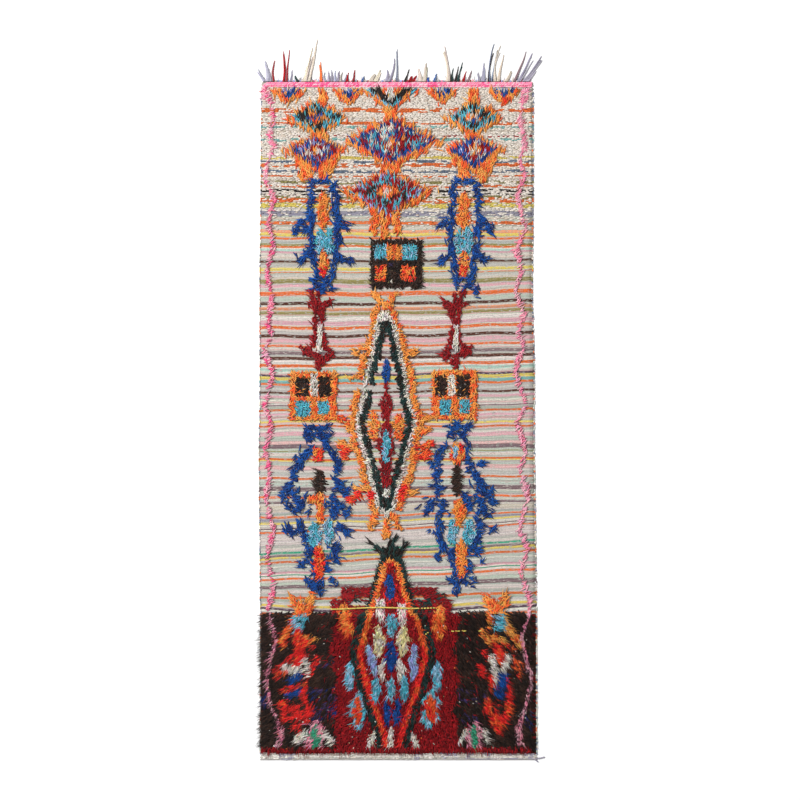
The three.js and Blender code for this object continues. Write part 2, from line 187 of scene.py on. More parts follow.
# %% The stripes
STRIPES = [
    # down, deep, yarn
    (113, 9, "rust"), (165, 8, "rust"), (182, 5, "teal"), (197, 6, "beige"), (216, 4, "wine"),
    (230, 5, "teal"), (304, 8, "yellow"), (319, 6, "slate"), (334, 6, "rust"), (360, 7, "slate"),
    (378, 7, "rust"), (392, 5, "beige"), (403, 4, "olive"), (420, 6, "rust"), (436, 4, "black"),
    (452, 4, "black"), (461, 6, "olive"), (475, 9, "rust"), (494, 11, "yellow"),
    (527, 12, "ash"), (565, 8, "rust"), (598, 8, "salmon"), (610, 9, "yellow"),
    (626, 10, "rust"), (651, 4, "olive"), (660, 9, "rust"), (672, 8, "mint"), (680, 5, "pink"),
    (700, 6, "beige"), (718, 8, "brown"), (749, 10, "yellow"), (763, 5, "rust"),
    (798, 16, "olive"), (817, 12, "pink"), (848, 13, "rust"), (870, 13, "sage"),
    (888, 11, "brown"), (909, 12, "salmon"), (927, 11, "olive"), (946, 12, "cream"),
    (966, 12, "pink"), (984, 12, "rust"), (1018, 8, "brown"), (1037, 16, "pink"),
    (1058, 8, "rust"), (1080, 4, "mauve"), (1088, 4, "mauve"), (1105, 10, "brown"),
    (1137, 10, "rust"), (1152, 10, "mint"), (1176, 4, "dusk"), (1187, 9, "yellow"),
    (1199, 8, "teal"), (1211, 7, "rust"), (1244, 9, "brown"), (1260, 10, "pink"),
    (1296, 5, "mauve"), (1314, 8, "rust"), (1332, 5, "pink"), (1360, 9, "yellow"),
    (1377, 8, "rust"), (1412, 12, "pink"), (1429, 14, "sage"), (1447, 8, "dusty"),
    (1463, 14, "mauve"), (1480, 4, "olive"), (1512, 6, "rust"), (1519, 5, "yellow"),
    (1534, 8, "sage"), (1549, 10, "dusty"), (1588, 7, "rust"), (1608, 12, "sage"),
    (1629, 12, "mauve"), (1665, 7, "rust"), (1684, 10, "mauve"), (1708, 22, "beige"),
    (1742, 7, "rust"), (1756, 7, "ash"), (1769, 5, "yellow"), (1791, 5, "dusk"),
    (1807, 7, "rust"), (1838, 34, "blush"), (1889, 8, "green"), (1903, 5, "mauve"),
    (1910, 6, "yellow"), (1928, 6, "rust"), (1955, 12, "grey"), (1970, 5, "pink"),
    (1981, 4, "green"), (1995, 6, "rust"), (2012, 10, "sage"), (2028, 10, "mauve"),
    (2044, 10, "blush"), (2067, 8, "rust"), (2084, 5, "grey"), (2096, 9, "yellow"),
    (2109, 6, "dusk"), (2118, 8, "white"), (2128, 6, "rust"), (2696, 8, "white"),
    (2709, 4, "grey"),
]
GROUND = [
    # down to, yarns
    (480, "cream cream cream beige"),
    (850, "cream grey cream beige sage"),
    (1700, "grey cream sage cream blush grey dusty"),
    (SHAG_TOP + 6, "grey blush cream sage grey"),
    (SHAG_FOOT, "burgundy soot umber"),
    (LENGTH, "heather cream bone"),
]
PICK = 4.2
MOST_RUNS = 600
LOOPED_FOOT = 540
LOOPED_SWELL = 1.6
PLAIN_SWELL = 1.2
DIM = 0.78


def ground_at(down):
    """The plain yarns between the stripes, in runs of one or two picks."""
    colours = np.zeros((len(down), 3))
    last = 0
    for foot, yarns in GROUND:
        runs = rng.integers(1, 3, size=MOST_RUNS)
        lots = np.repeat(dyed(yarns, len(runs)), runs, axis=0)
        lots = lots * np.repeat(rng.uniform(0.82, 1.02, len(runs)), runs)[:, None]
        inside = np.flatnonzero((down >= last) & (down < foot + 1))
        colours[inside] = lots[:len(inside)]
        last = foot
    return colours


def stripe_at(down):
    """The yarn's light at each place down the left edge, and whether a stripe is there."""
    colours = ground_at(down)
    is_stripe = np.zeros(len(down), bool)
    for middle, deep, yarn in STRIPES:
        swell = LOOPED_SWELL if middle < LOOPED_FOOT else PLAIN_SWELL
        inside = np.abs(down - middle) <= max(swell * deep, PICK) / 2
        colours[inside] = LIGHT[yarn]
        is_stripe |= inside
    return colours * DIM, is_stripe


PICKS = np.arange(PICK / 2, LENGTH, PICK)
PICK_UNDER = DIM * ground_at(PICKS)
PICK_LIGHT, PICK_IS_STRIPE = stripe_at(PICKS)
print(f"{len(PICKS)} picks of weft, {int(PICK_IS_STRIPE.sum())} of them in stripes")

# %% [markdown]
# Materials for wool.
# Wool has no shine, scatters light at its edges and shows fine flecks. The yarn's colour sits
# on the mesh as an attribute called "yarn", so one material serves every ball of wool. A ply
# twist is drawn as a small bump along each strand, from the strand's own UV map. The sheen is a
# plain number on the shader, so that it survives an export.

# %% Helpers for node trees
def feed(material, node, inputs):
    """Fills a node's inputs. A plain value is set, and another node's output is linked."""
    for socket, value in inputs.items():
        if isinstance(value, bpy.types.NodeSocket):
            material.node_tree.links.new(value, node.inputs[socket])
        else:
            node.inputs[socket].default_value = value


def new_node(material, kind, inputs, **settings):
    """Adds a shader node, with its settings first, because they decide which inputs it has."""
    node = material.node_tree.nodes.new("ShaderNode" + kind)
    for name, value in settings.items():
        setattr(node, name, value)
    feed(material, node, inputs)
    return node


def work_out(material, operation, first, second=0.0):
    """One sum on two values. Each may be a number or another node's output."""
    return new_node(material, "Math", {0: first, 1: second}, operation=operation).outputs[0]


def object_noise(material, scale, detail):
    """Noise that is fixed to the rug, finer for a larger scale."""
    place = new_node(material, "TexCoord", {})
    inputs = {"Vector": place.outputs["Object"], "Scale": scale, "Detail": detail}
    return new_node(material, "TexNoise", inputs).outputs["Fac"]


def split_uv(material, name):
    """The two parts of a UV map."""
    uv = new_node(material, "UVMap", {}, uv_map=name)
    split = new_node(material, "SeparateXYZ", {"Vector": uv.outputs["UV"]})
    return split.outputs["X"], split.outputs["Y"]


def add_bump(material, height, strength, distance):
    """Sends a height to the shader's normal."""
    bump = new_node(material, "Bump", {"Strength": strength, "Distance": distance, "Height": height})
    shader = material.node_tree.nodes["Principled BSDF"]
    feed(material, shader, {"Normal": bump.outputs["Normal"]})


# %% Plain wool, and spun yarn with a twist along the strand
FLECKS = {"From Min": 0.3, "From Max": 0.7, "To Min": 0.8, "To Max": 1.2}
YARN_FLECK = 420


def wool(name, sheen, fleck=YARN_FLECK, rough=0.92):
    """A wool material that reads the yarn attribute."""
    material = bpy.data.materials.new(name)
    material.use_nodes = True
    yarn = new_node(material, "Attribute", {}, attribute_name="yarn")
    noise = object_noise(material, fleck, 4)
    value = new_node(material, "MapRange", {"Value": noise, **FLECKS})
    inputs = {"Value": value.outputs["Result"], "Color": yarn.outputs["Color"]}
    tone = new_node(material, "HueSaturation", inputs)
    feed(material, material.node_tree.nodes["Principled BSDF"], {
        "Base Color": tone.outputs["Color"], "Roughness": rough, "Specular IOR Level": 0.18,
        "Sheen Weight": sheen, "Sheen Roughness": 0.45,
    })
    return material


def spun(name, sheen, twists):
    """Yarn of two plies, wound around each other by a number of twists over its length."""
    material = wool(name, sheen)
    around, along = split_uv(material, "strand")
    around = work_out(material, "MULTIPLY", around, 4 * math.pi)
    along = work_out(material, "MULTIPLY", along, twists * 2 * math.pi)
    turn = work_out(material, "ADD", around, along)
    add_bump(material, work_out(material, "SINE", turn), 0.5, 0.0008)
    return material


PILE_WOOL = spun("pile_wool", sheen=0.06, twists=3)
SHAG_WOOL = spun("shag_wool", sheen=0.04, twists=4)
FRINGE_WOOL = spun("fringe_wool", sheen=0.08, twists=14)
LOOP_WOOL = wool("loop_wool", sheen=0.06)
print("three spun wools and a plain one")

# %% The weave: beads of weft over hidden warps
WARP = 5.6
DASH_LONG = 17.0
DASH_DEEP = 3.6


def break_stripes(material, across, down):
    """Lets the yarn under a pick show through in dashes, where the two are packed together."""
    tone = next(node for node in material.node_tree.nodes if node.type == "HUE_SAT")
    yarn = tone.inputs["Color"].links[0].from_socket
    under = new_node(material, "Attribute", {}, attribute_name="under")
    stretch = new_node(material, "CombineXYZ", {
        "X": work_out(material, "DIVIDE", across, DASH_LONG),
        "Y": work_out(material, "DIVIDE", down, DASH_DEEP),
    })
    inputs = {"Vector": stretch.outputs["Vector"], "Scale": 1, "Detail": 2}
    dashes = new_node(material, "TexNoise", inputs)
    inputs = {"Value": dashes.outputs["Fac"], "From Min": 0.36, "From Max": 0.44}
    edge = new_node(material, "MapRange", inputs)
    inputs = {"Factor": edge.outputs["Result"], "A": under.outputs["Color"], "B": yarn}
    mix = new_node(material, "Mix", inputs, data_type="RGBA")
    feed(material, tone, {"Color": mix.outputs["Result"]})


def woven(name):
    """Weft over warp: one rounded bead at each warp, and a little hair on the wool."""
    material = wool(name, sheen=0.06, fleck=260, rough=0.96)
    across, down = split_uv(material, "weft")
    wave = work_out(material, "SINE", work_out(material, "MULTIPLY", across, math.pi / WARP))
    hill = work_out(material, "ABSOLUTE", wave)
    hair = object_noise(material, 900, 3)
    add_bump(material, work_out(material, "ADD", hill, hair), 0.55, 0.0012)
    break_stripes(material, across, down)
    return material


WEAVE = woven("woven_wool")
print("a weave with a bead of weft over each warp, every", WARP, "mm")

# %% [markdown]
# The flat weave.
# A weft-faced cloth is a stack of ridges, one for each pick. A flat plane with a bump would look
# right from above and lose its ribs at the edge, so the sheet is a real grid: two rows of points
# for a pick, a crest and a trough. The grid operator makes it, its points are moved onto the
# bowed wefts, and the rim is drawn down and closed, which leaves a sheet about 3 mm thick.

# %% Weave the ground
COLUMNS = 42
CREST = 3.6
TROUGH = 2.5
TURN_BACK = 2.0
EDGE_POWER = 30
PICK_UNEVEN = 0.16
UNDERSIDE = 0.3


def finish_mesh(name, mesh, material):
    """Makes a finished piece of a mesh: an object at the origin, riding on the rug."""
    mesh.materials.append(material)
    mesh.shade_smooth()
    piece = bpy.data.objects.new(name, mesh)
    bpy.context.scene.collection.objects.link(piece)
    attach(piece, "root")
    return piece


def set_points(mesh, points):
    """Moves a mesh's points, in their own order."""
    mesh.vertices.foreach_set("co", np.ascontiguousarray(points, np.float32).ravel())


def set_uv(mesh, name, corners):
    """Stores a UV map, one pair of values for each corner of a face."""
    layer = mesh.uv_layers.new(name=name)
    layer.data.foreach_set("uv", corners.astype(np.float32).ravel())


def set_yarn(mesh, colours, name="yarn"):
    """Stores one colour for each point, where a wool material can read it."""
    layer = mesh.attributes.new(name, "FLOAT_COLOR", "POINT")
    whole = np.concatenate([colours, np.ones((len(colours), 1))], axis=1)
    layer.data.foreach_set("color", whole.astype(np.float32).ravel())


def weave_ground():
    """A grid of crests and troughs, moved onto the bowed wefts and coloured pick by pick."""
    rows = 2 * len(PICKS)
    bm = bmesh.new()
    bmesh.ops.create_grid(bm, x_segments=COLUMNS, y_segments=rows, size=0.5)
    mesh = bpy.data.meshes.new("woven_ground")
    bm.to_mesh(mesh)
    bm.free()
    flat = np.zeros(len(mesh.vertices) * 3, np.float32)
    mesh.vertices.foreach_get("co", flat)
    flat = flat.reshape(-1, 3)
    share = flat[:, 0] + 0.5
    row = np.rint((0.5 - flat[:, 1]) * rows).astype(int)
    down = row * LENGTH / rows
    pick = np.clip(row // 2, 0, len(PICKS) - 1)

    left, right = column(SIDES, down, 1), column(SIDES, down, 2)
    edge = (2 * np.abs(share - 0.5)) ** EDGE_POWER
    out = edge * np.sign(share - 0.5) * (rng.normal(0, TURN_BACK, len(PICKS))[pick] - 1)
    across = left + share * (right - left) + out
    thick = rng.normal(0, PICK_UNEVEN, len(PICKS))[pick]
    lump = 0.25 * np.sin(across / 31 + pick * 2.3) + 0.2 * np.sin(across / 11 + pick * 5.1)
    height = np.where(row % 2 == 1, CREST + thick, TROUGH) + lump
    inner = np.clip(down / 30, 0, 1) * np.clip((LENGTH - down) / 30, 0, 1)
    set_points(mesh, metres(across, down + bow(down, share) + inner * wobble(across, down), height))

    # The two waves are the yarn's own uneven tone. Under the loops at the top the wefts are painted
    # darker, a painted shade of the loops that lie over them.
    shade = 1 + 0.06 * np.sin(across / 47 + pick * 1.7) + 0.05 * np.sin(across / 19 + pick * 3.1)
    shade = (shade * np.interp(down, (0, 400, LOOPED_FOOT), (0.78, 0.78, 1.0)))[:, None]
    set_yarn(mesh, np.clip(worn(PICK_LIGHT, 0.09)[pick] * shade, 0, BRIGHTEST))
    # The yarn under a pick is drawn darker than the same yarn on the face, a painted shade for lying
    # deeper between the picks.
    set_yarn(mesh, np.clip(0.86 * PICK_UNDER[pick] * shade, 0, BRIGHTEST), "under")
    corner = np.zeros(len(mesh.loops), np.int32)
    mesh.loops.foreach_get("vertex_index", corner)
    set_uv(mesh, "weft", np.stack([across, down], axis=1)[corner])
    return mesh


def close_sheet(mesh):
    """Draws the rim down to the floor and closes the underside with one face."""
    bm = bmesh.new()
    bm.from_mesh(mesh)
    rim = [edge for edge in bm.edges if edge.is_boundary]
    made = bmesh.ops.extrude_edge_only(bm, edges=rim)["geom"]
    for vertex in (part for part in made if isinstance(part, bmesh.types.BMVert)):
        vertex.co.z = UNDERSIDE * MM
    bmesh.ops.edgeloop_fill(bm, edges=[edge for edge in bm.edges if edge.is_boundary])
    bmesh.ops.recalc_face_normals(bm, faces=bm.faces[:])
    bm.to_mesh(mesh)
    bm.free()


ground_mesh = weave_ground()
close_sheet(ground_mesh)
woven_ground = finish_mesh("woven_ground", ground_mesh, WEAVE)
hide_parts("rug_cloth")
print(f"woven ground: {len(ground_mesh.polygons)} faces")

# %% [markdown]
# Strands.
# Tufts, fringe and loose yarn are all the same thing: a thin cone, bent along a line. The cone
# operator makes one, cut across a few times so that it can bend. Copies are then laid side by
# side as arrays of points, one line of arithmetic for thousands of strands, and joined into one
# mesh. Each copy keeps a UV map, around and along, for the twist in the yarn.

# %% A cone that can bend, and many copies of it
def cut_cone(sides, cuts):
    """A closed cone one unit long, cut across at the given heights."""
    bm = bmesh.new()
    bmesh.ops.create_cone(
        bm, cap_ends=True, cap_tris=False, segments=sides, radius1=1, radius2=0, depth=1
    )
    bmesh.ops.translate(bm, verts=bm.verts[:], vec=(0, 0, 0.5))
    for cut in cuts:
        bmesh.ops.bisect_plane(
            bm, geom=bm.verts[:] + bm.edges[:] + bm.faces[:], plane_co=(0, 0, cut), plane_no=(0, 0, 1)
        )
    bmesh.ops.remove_doubles(bm, verts=bm.verts[:], dist=1e-5)
    return template_of(bm)


def template_of(bm):
    """A shape's points, and the corners of its faces, as arrays that can be copied."""
    bm.verts.index_update()
    points = np.array([vertex.co[:] for vertex in bm.verts])
    faces = [[vertex.index for vertex in face.verts] for face in bm.faces]
    bm.free()
    angle = np.arctan2(points[:, 1], points[:, 0])
    corners = np.concatenate(faces)
    around = angle[corners] / (2 * math.pi)
    for face, start in zip(faces, np.cumsum([0] + [len(face) for face in faces])):
        span = around[start:start + len(face)]
        span[span < span.max() - 0.5] += 1
    uv = np.stack([around, points[corners, 2]], axis=1)
    return {"points": points, "angle": angle, "corners": corners, "uv": uv,
            "sizes": np.array([len(face) for face in faces])}


def join_copies(name, template, points, colours, root=1.0):
    """One mesh of many copies. points holds a copy's points in each row, colours one for each.
    root is how light a strand's root is beside its tip: a painted shade that darkens each strand towards
    its root, where the strands shade one another."""
    count, each = points.shape[:2]
    mesh = bpy.data.meshes.new(name)
    mesh.vertices.add(count * each)
    set_points(mesh, points.reshape(-1, 3))
    corners = template["corners"][None] + np.arange(count)[:, None] * each
    starts = np.cumsum(np.tile(template["sizes"], count))
    mesh.loops.add(corners.size)
    mesh.loops.foreach_set("vertex_index", corners.ravel().astype(np.int32))
    mesh.polygons.add(len(starts))
    mesh.polygons.foreach_set("loop_start", np.concatenate([[0], starts[:-1]]).astype(np.int32))
    mesh.update(calc_edges=True)
    set_uv(mesh, "strand", np.tile(template["uv"], (count, 1)))
    # Painted shade: each strand is darker at its root and lighter at its tip.
    painted_root_shade = root + (1 - root) * np.clip(template["points"][:, 2] * 1.6, 0, 1)
    set_yarn(mesh, (colours[:, None] * painted_root_shade[None, :, None]).reshape(-1, 3))
    return mesh


def unit(vectors):
    """Vectors of the same directions, one unit long."""
    return vectors / np.maximum(np.linalg.norm(vectors, axis=-1, keepdims=True), 1e-9)


def bend_strands(template, centre, radius):
    """Bends a copy of the cone along each strand. centre(t) and radius(t) answer for them all."""
    heights = template["points"][:, 2]
    points = np.zeros((len(centre(0.0)), len(heights), 3))
    up = np.array([0.0, 0.0, 1.0])
    for t in np.unique(np.round(heights, 5)):
        ring = np.flatnonzero(np.abs(heights - t) < 1e-4)
        way = unit(centre(t + 0.01) - centre(t - 0.01))
        side = unit(np.cross(way, up + 1e-4))
        lift = np.cross(side, way)
        for spot in ring:
            turn = template["angle"][spot]
            reach = side * math.cos(turn) + lift * math.sin(turn)
            tip = 0.0 if t > 0.999 else 1.0
            points[:, spot] = centre(t) + tip * radius(t)[:, None] * reach
    return points


TUFT = cut_cone(3, (0.3, 0.72))
SHAG_END = cut_cone(3, (0.5,))
YARN_END = cut_cone(6, tuple(np.linspace(0.1, 0.95, 9)))
print(f"a tuft has {len(TUFT['sizes'])} faces, a fringe end {len(YARN_END['sizes'])}")

# %% [markdown]
# Knots.
# Pile is knotted in rows between the picks. A set of knots holds every place where one could be
# tied, and tie() fills the places inside a figure with yarn: its colour, the way it lies and its
# length. Later figures are tied over earlier ones, so a lozenge is a few rings tied from the
# outside in. Turn 0 lies towards the fringe, 90 to the right, 180 towards the shag.

# %% Knots and how they are tied
LEFT_KNOT = -546
RIGHT_KNOT = 552
PATCHES = (300, 300)
STRAY_SHARE = 0.16
LONG_PILE = 32


class Knots:
    """Places for knots in even rows, a little out of true, and what is tied at each."""

    def __init__(self, top, foot, apart, rows_apart):
        rows, places = np.arange(top, foot, rows_apart), np.arange(LEFT_KNOT, RIGHT_KNOT, apart)
        down, across = np.meshgrid(rows, places, indexing="ij")
        stagger = (np.arange(len(down)) % 2)[:, None] * apart / 2
        self.across = (across + stagger + rng.normal(0, apart * 0.16, across.shape)).ravel()
        self.down = (down + rng.normal(0, rows_apart * 0.14, down.shape)).ravel()
        self.ragged = np.sin(self.across / 8.3 + 1.7 * np.sin(self.down / 13))
        self.ragged += rng.normal(0, 0.5, self.across.size)
        self.tied = np.zeros(self.across.size, bool)
        self.colour = np.zeros((self.across.size, 3))
        self.turn = np.zeros(self.across.size)
        self.long = np.zeros(self.across.size)

    def lots(self, spots, yarns, patch=9.0):
        """Knots that are tied from the same end of yarn share it, in small patches."""
        palette = np.array([LIGHT[word] for word in yarns.split()])
        row = (self.down[spots] / (1.5 * patch) + 0.3 * np.sin(self.across[spots] / 7)).astype(int)
        place = np.floor(self.across[spots] / patch + 0.5 * (row % 2)).astype(int)
        return palette[rng.integers(len(palette), size=PATCHES)[row, place]]

    def tie(self, where, yarns, turn=0.0, wander=22, long=21, fill=1.0):
        """Ties yarn at the knots in where, one end in six cut longer. fill under 1 leaves some bare."""
        spots = np.flatnonzero(where & (rng.random(where.size) < fill))
        self.tied[spots] = True
        self.colour[spots] = self.lots(spots, yarns)
        turns = np.broadcast_to(turn, where.shape)[spots]
        self.turn[spots] = turns + rng.normal(0, wander, len(spots))
        longer = 1.8 if long < LONG_PILE else 1.25
        stray = np.where(rng.random(len(spots)) < STRAY_SHARE, longer, 1.0)
        self.long[spots] = long * stray * rng.uniform(0.75, 1.2, len(spots))

    def leave_bare(self, where):
        """Takes the knots in where out again."""
        self.tied[where] = False

    def splay(self, middle, half, most=50):
        """Leans away from a figure's middle line, up and outwards."""
        return most * np.clip((self.across - middle) / half, -1, 1)

    def lozenge(self, middle, centre, half, up, down, power=1.0):
        """0 in the middle of a lozenge, 1 on its rim. It reaches up and down by its own lengths,
        and a power over 1 rounds its sides."""
        reach = np.where(self.down < centre, up, down)
        aside, along = np.abs(self.across - middle) / half, np.abs(self.down - centre) / reach
        return (aside ** power + along ** power) ** (1 / power)

    def stroke(self, corners, half, rough=0.32):
        """A ragged line of knots through corners, each a place across and down."""
        away = np.full(self.across.size, 1e9)
        for (left, top), (right, foot) in zip(corners[:-1], corners[1:]):
            wide, deep = right - left, foot - top
            share = (self.across - left) * wide + (self.down - top) * deep
            share = np.clip(share / (wide * wide + deep * deep), 0, 1)
            gap = np.hypot(self.across - left - share * wide, self.down - top - share * deep)
            away = np.minimum(away, gap)
        return away < half * (1 + rough * self.ragged)

    def inside(self, middle, rows):
        """How far inside a figure's rim each knot is. rows lists its half width going down."""
        downs, halves = np.array(rows, float).T
        half = np.interp(self.down, downs, halves, left=-1e3, right=-1e3)
        return half - np.abs(self.across - middle)

    def block(self, left, right, top, foot):
        """A plain box of knots."""
        aside = (self.across > left) & (self.across < right)
        return aside & (self.down > top) & (self.down < foot)

    def feather(self, middle, top, foot, half, slant=0.0):
        """A pointed oval, which may slant."""
        centre, reach = (top + foot) / 2, (foot - top) / 2
        along = (self.down - centre) / reach
        axis = middle + slant * (self.down - centre)
        width = 0.93 * half * np.clip(1 - along ** 2, 0, 1) ** 0.55 * (1 + 0.27 * self.ragged)
        return np.abs(self.across - axis) < width

    def beside_line(self, rows):
        """How far each knot is from a wavy line. rows lists the line's place going down."""
        downs, places = np.array(rows, float).T
        line = np.interp(self.down, downs, places, left=1e4, right=1e4)
        return self.across - line


print(f"knots lie from {LEFT_KNOT} to {RIGHT_KNOT} mm across")

# %% [markdown]
# The figures at the top.
# Under the fringe stand half lozenges, then three rows of lozenges, each ringed in orange and
# filled with blue, turquoise, wine and cream. The pile leans up and away from the middle of each
# figure, like the barbs of a feather. Mixes of yarn that many figures share are named here.

# %% Tie the lozenges
field = Knots(34, SHAG_TOP + 6, 6.6, 6.2)
FLAME = "orange orange flame flame amber"
AQUA = "turquoise turquoise sky"
DEEP = "blue blue navy"
PALE = "white cream"
WINES = "wine wine burgundy"
PINES = "pine pine soot"
REDS = "red red flame"
HALF_LOZENGES = [
    # middle, half, reach
    (-438, 68, 58),
    (-198, 64, 60),
    (180, 58, 62),
    (422, 68, 60),
]
LOZENGES = [
    # middle, centre, half, up, down, rings from the outside in
    (-326, 148, 124, 74, 66, (
        (0.84, "turquoise black turquoise"), (0.64, "black black turquoise orange"),
        (0.36, "orange wine blue flame"), (0.16, "orange blue"))),
    (300, 148, 116, 72, 66, (
        (0.84, "turquoise black turquoise"), (0.64, "black black turquoise orange"),
        (0.34, "orange blue cream flame"))),
    (-330, 272, 124, 60, 100, (
        (0.78, "blue blue wine"), (0.62, "wine cream blue wine lavender"),
        (0.3, "wine wine cream orange"))),
    (302, 272, 120, 60, 96, (
        (0.78, DEEP), (0.62, "wine cream blue wine lavender"),
        (0.3, "wine orange cream"))),
    (-22, 240, 196, 104, 104, (
        (0.84, "blue blue blue navy wine"), (0.72, "wine cream blue wine turquoise navy"),
        (0.4, "wine cream turquoise blue wine orange"), (0.14, "orange turquoise blue"))),
    (-43, 440, 176, 84, 116, (
        (0.86, "wine wine lavender turquoise"), (0.66, "wine turquoise wine black"),
        (0.5, "black turquoise black wine"), (0.3, "orange flame"), (0.14, "cream"))),
]


def tie_half_lozenges():
    """Each is cut off by the top end, and the middle one is the largest."""
    for middle, half, reach in HALF_LOZENGES:
        ring = field.lozenge(middle, 26, half, reach, reach, 1.4)
        lean = field.splay(middle, half, 30)
        field.tie(ring < 1 + 0.09 * field.ragged, FLAME, lean, 16, 25, 0.85)
        field.tie(ring < 0.7, "blue blue navy amber orange", lean, 18, 23)
        field.tie(ring < 0.34, "blue lavender cream", lean, 18, 21)
    field.tie(field.feather(424, 64, 94, 15), "flame red orange", 10)
    ring = field.lozenge(-28, 26, 126, 92, 92)
    lean = field.splay(-28, 110, 40)
    field.tie(ring < 1 + 0.09 * field.ragged, FLAME, lean, 16, 26, 0.85)
    field.tie(ring < 0.9, "turquoise turquoise sky orange", lean, 16, 25)
    field.tie(ring < 0.78, "black black soot black", lean, 16, 25)
    field.tie(ring < 0.44, "orange amber flame", lean, 14, 24)
    field.tie(field.feather(-28, 10, 78, 19), "cream white", 0, 12)


def tie_lozenges():
    """First the stems and legs between the lozenges, then the lozenges over them."""
    for middle in (-306, 300):
        field.tie(field.stroke(((middle, 36), (middle + 4, 84)), 17), FLAME, 0, 14, 25)
        field.tie(field.feather(middle, 200, 250, 30), FLAME, 0, 18)
    field.tie(field.feather(-30, 100, 168, 34), FLAME, 0, 20)
    field.tie(field.feather(-38, 326, 376, 40), FLAME, 0, 18)
    for middle in (-330, 302):
        for side in (-1, 1):
            leg = ((middle + side * 56, 316), (middle + side * 36, 374))
            field.tie(field.stroke(leg, 24), FLAME, side * 20, 22, 24)
    for middle, centre, half, up, down, rings in LOZENGES:
        ring = field.lozenge(middle, centre, half, up, down)
        lean = field.splay(middle, half, 32) * np.where(field.down < centre, 1.0, 0.6)
        flames = rng.random(ring.size) < np.where(field.down < centre, 0.66, 0.86)
        field.tie(flames & (ring < 1 + 0.1 * field.ragged), FLAME, lean, 13, 34)
        for rim, yarns in rings:
            field.tie(ring < rim * (1 + 0.05 * field.ragged), yarns, lean, 12, 28)


def tie_prongs(middle, top, yarns=FLAME):
    """A foot of three prongs under a figure, the middle one longest."""
    for aside, start, foot in ((-42, 0, 66), (0, 36, 96), (48, 6, 66)):
        prong = ((middle + aside, top + start), (middle + aside, top + foot))
        field.tie(field.stroke(prong, 15), yarns, 10, 30, 18)


tie_half_lozenges()
tie_lozenges()
tie_prongs(-54, 524)
print(f"{int(field.tied.sum())} knots tied in the top figures")

# %% [markdown]
# The blue swimmers.
# Two pairs of long figures with fins and a tail flank the middle. The upper two are the same
# drawing, mirrored. The lower two are larger and more ragged, and each has its own drawing. A
# list of strokes gives a figure's blue rim and fins, and a second one the feathers tied inside.

# %% Tie the upper swimmers
BLUES = "blue blue blue navy"
SMALL_SWIMMER = [
    # half width, then the corners as (across from the middle, down)
    (12, (-44, 402), (4, 392), (30, 398)),
    (16, (-44, 404), (-50, 446), (-54, 486)),
    (10, (-54, 486), (-52, 540)),
    (15, (28, 398), (42, 444), (46, 506), (54, 560)),
    (15, (-52, 540), (-86, 564), (-116, 592)),
    (18, (-64, 584), (-92, 588)),
    (17, (56, 556), (88, 574)),
    (14, (-54, 566), (-48, 640), (-38, 700), (-30, 790)),
    (14, (56, 580), (54, 660), (40, 710), (26, 790)),
    (17, (-44, 668), (-78, 700), (-92, 712)),
    (16, (48, 676), (76, 708), (92, 716)),
    (20, (-26, 782), (16, 784)),
    (14, (-50, 836), (-20, 806), (0, 838)),
    (10, (22, 800), (30, 826)),
]


def is_upright(corners):
    """Whether a stroke runs along the body. The others are fins."""
    return abs(corners[-1][0] - corners[0][0]) < 20


def fin_turn(corners, middle):
    """Pile on a fin lies along it, away from the body. Pile on the body splays outwards."""
    if is_upright(corners):
        return field.splay(middle, 40, 95)
    run_across = corners[-1][0] - corners[0][0]
    run_down = corners[-1][1] - corners[0][1]
    return np.degrees(np.arctan2(run_across, -run_down))


def tie_swimmer(middle, mirror, parts, long=19):
    """The blue rim of a swimmer. Its fins are cut longer than its body."""
    for half, *corners in parts:
        corners = [(mirror * across, down) for across, down in corners]
        turn = fin_turn(corners, middle)
        spots = [(middle + across, down) for across, down in corners]
        spiky = 1.0 if is_upright(corners) else 1.35
        field.tie(field.stroke(spots, 0.66 * half, 0.8), BLUES, turn, 40, 1.15 * spiky * long, 0.9)


def fill_figure(middle, rows):
    """Ties feathers inside a figure, each from its own row."""
    for aside, top, foot, half, yarns, turn, wander, long in rows:
        field.tie(field.feather(middle + aside, top, foot, half), yarns, turn, wander, long)


SMALL_FILL = [
    # aside, top, foot, half, yarns, turn, wander, long
    (-4, 440, 590, 26, "orange flame orange", 10, 50, 18),
    (-18, 590, 690, 21, AQUA, 0, 45, 16),
    (18, 582, 688, 21, AQUA, 0, 45, 16),
    (-2, 676, 780, 22, "orange flame amber", 10, 40, 17),
    (-2, 736, 782, 18, "flame orange red", 10, 40, 15),
]
for middle, mirror in ((-295, 1), (264, -1)):
    tie_swimmer(middle, mirror, SMALL_SWIMMER)
    fill_figure(middle, SMALL_FILL)
print(f"{int(field.tied.sum())} knots tied with the upper swimmers")

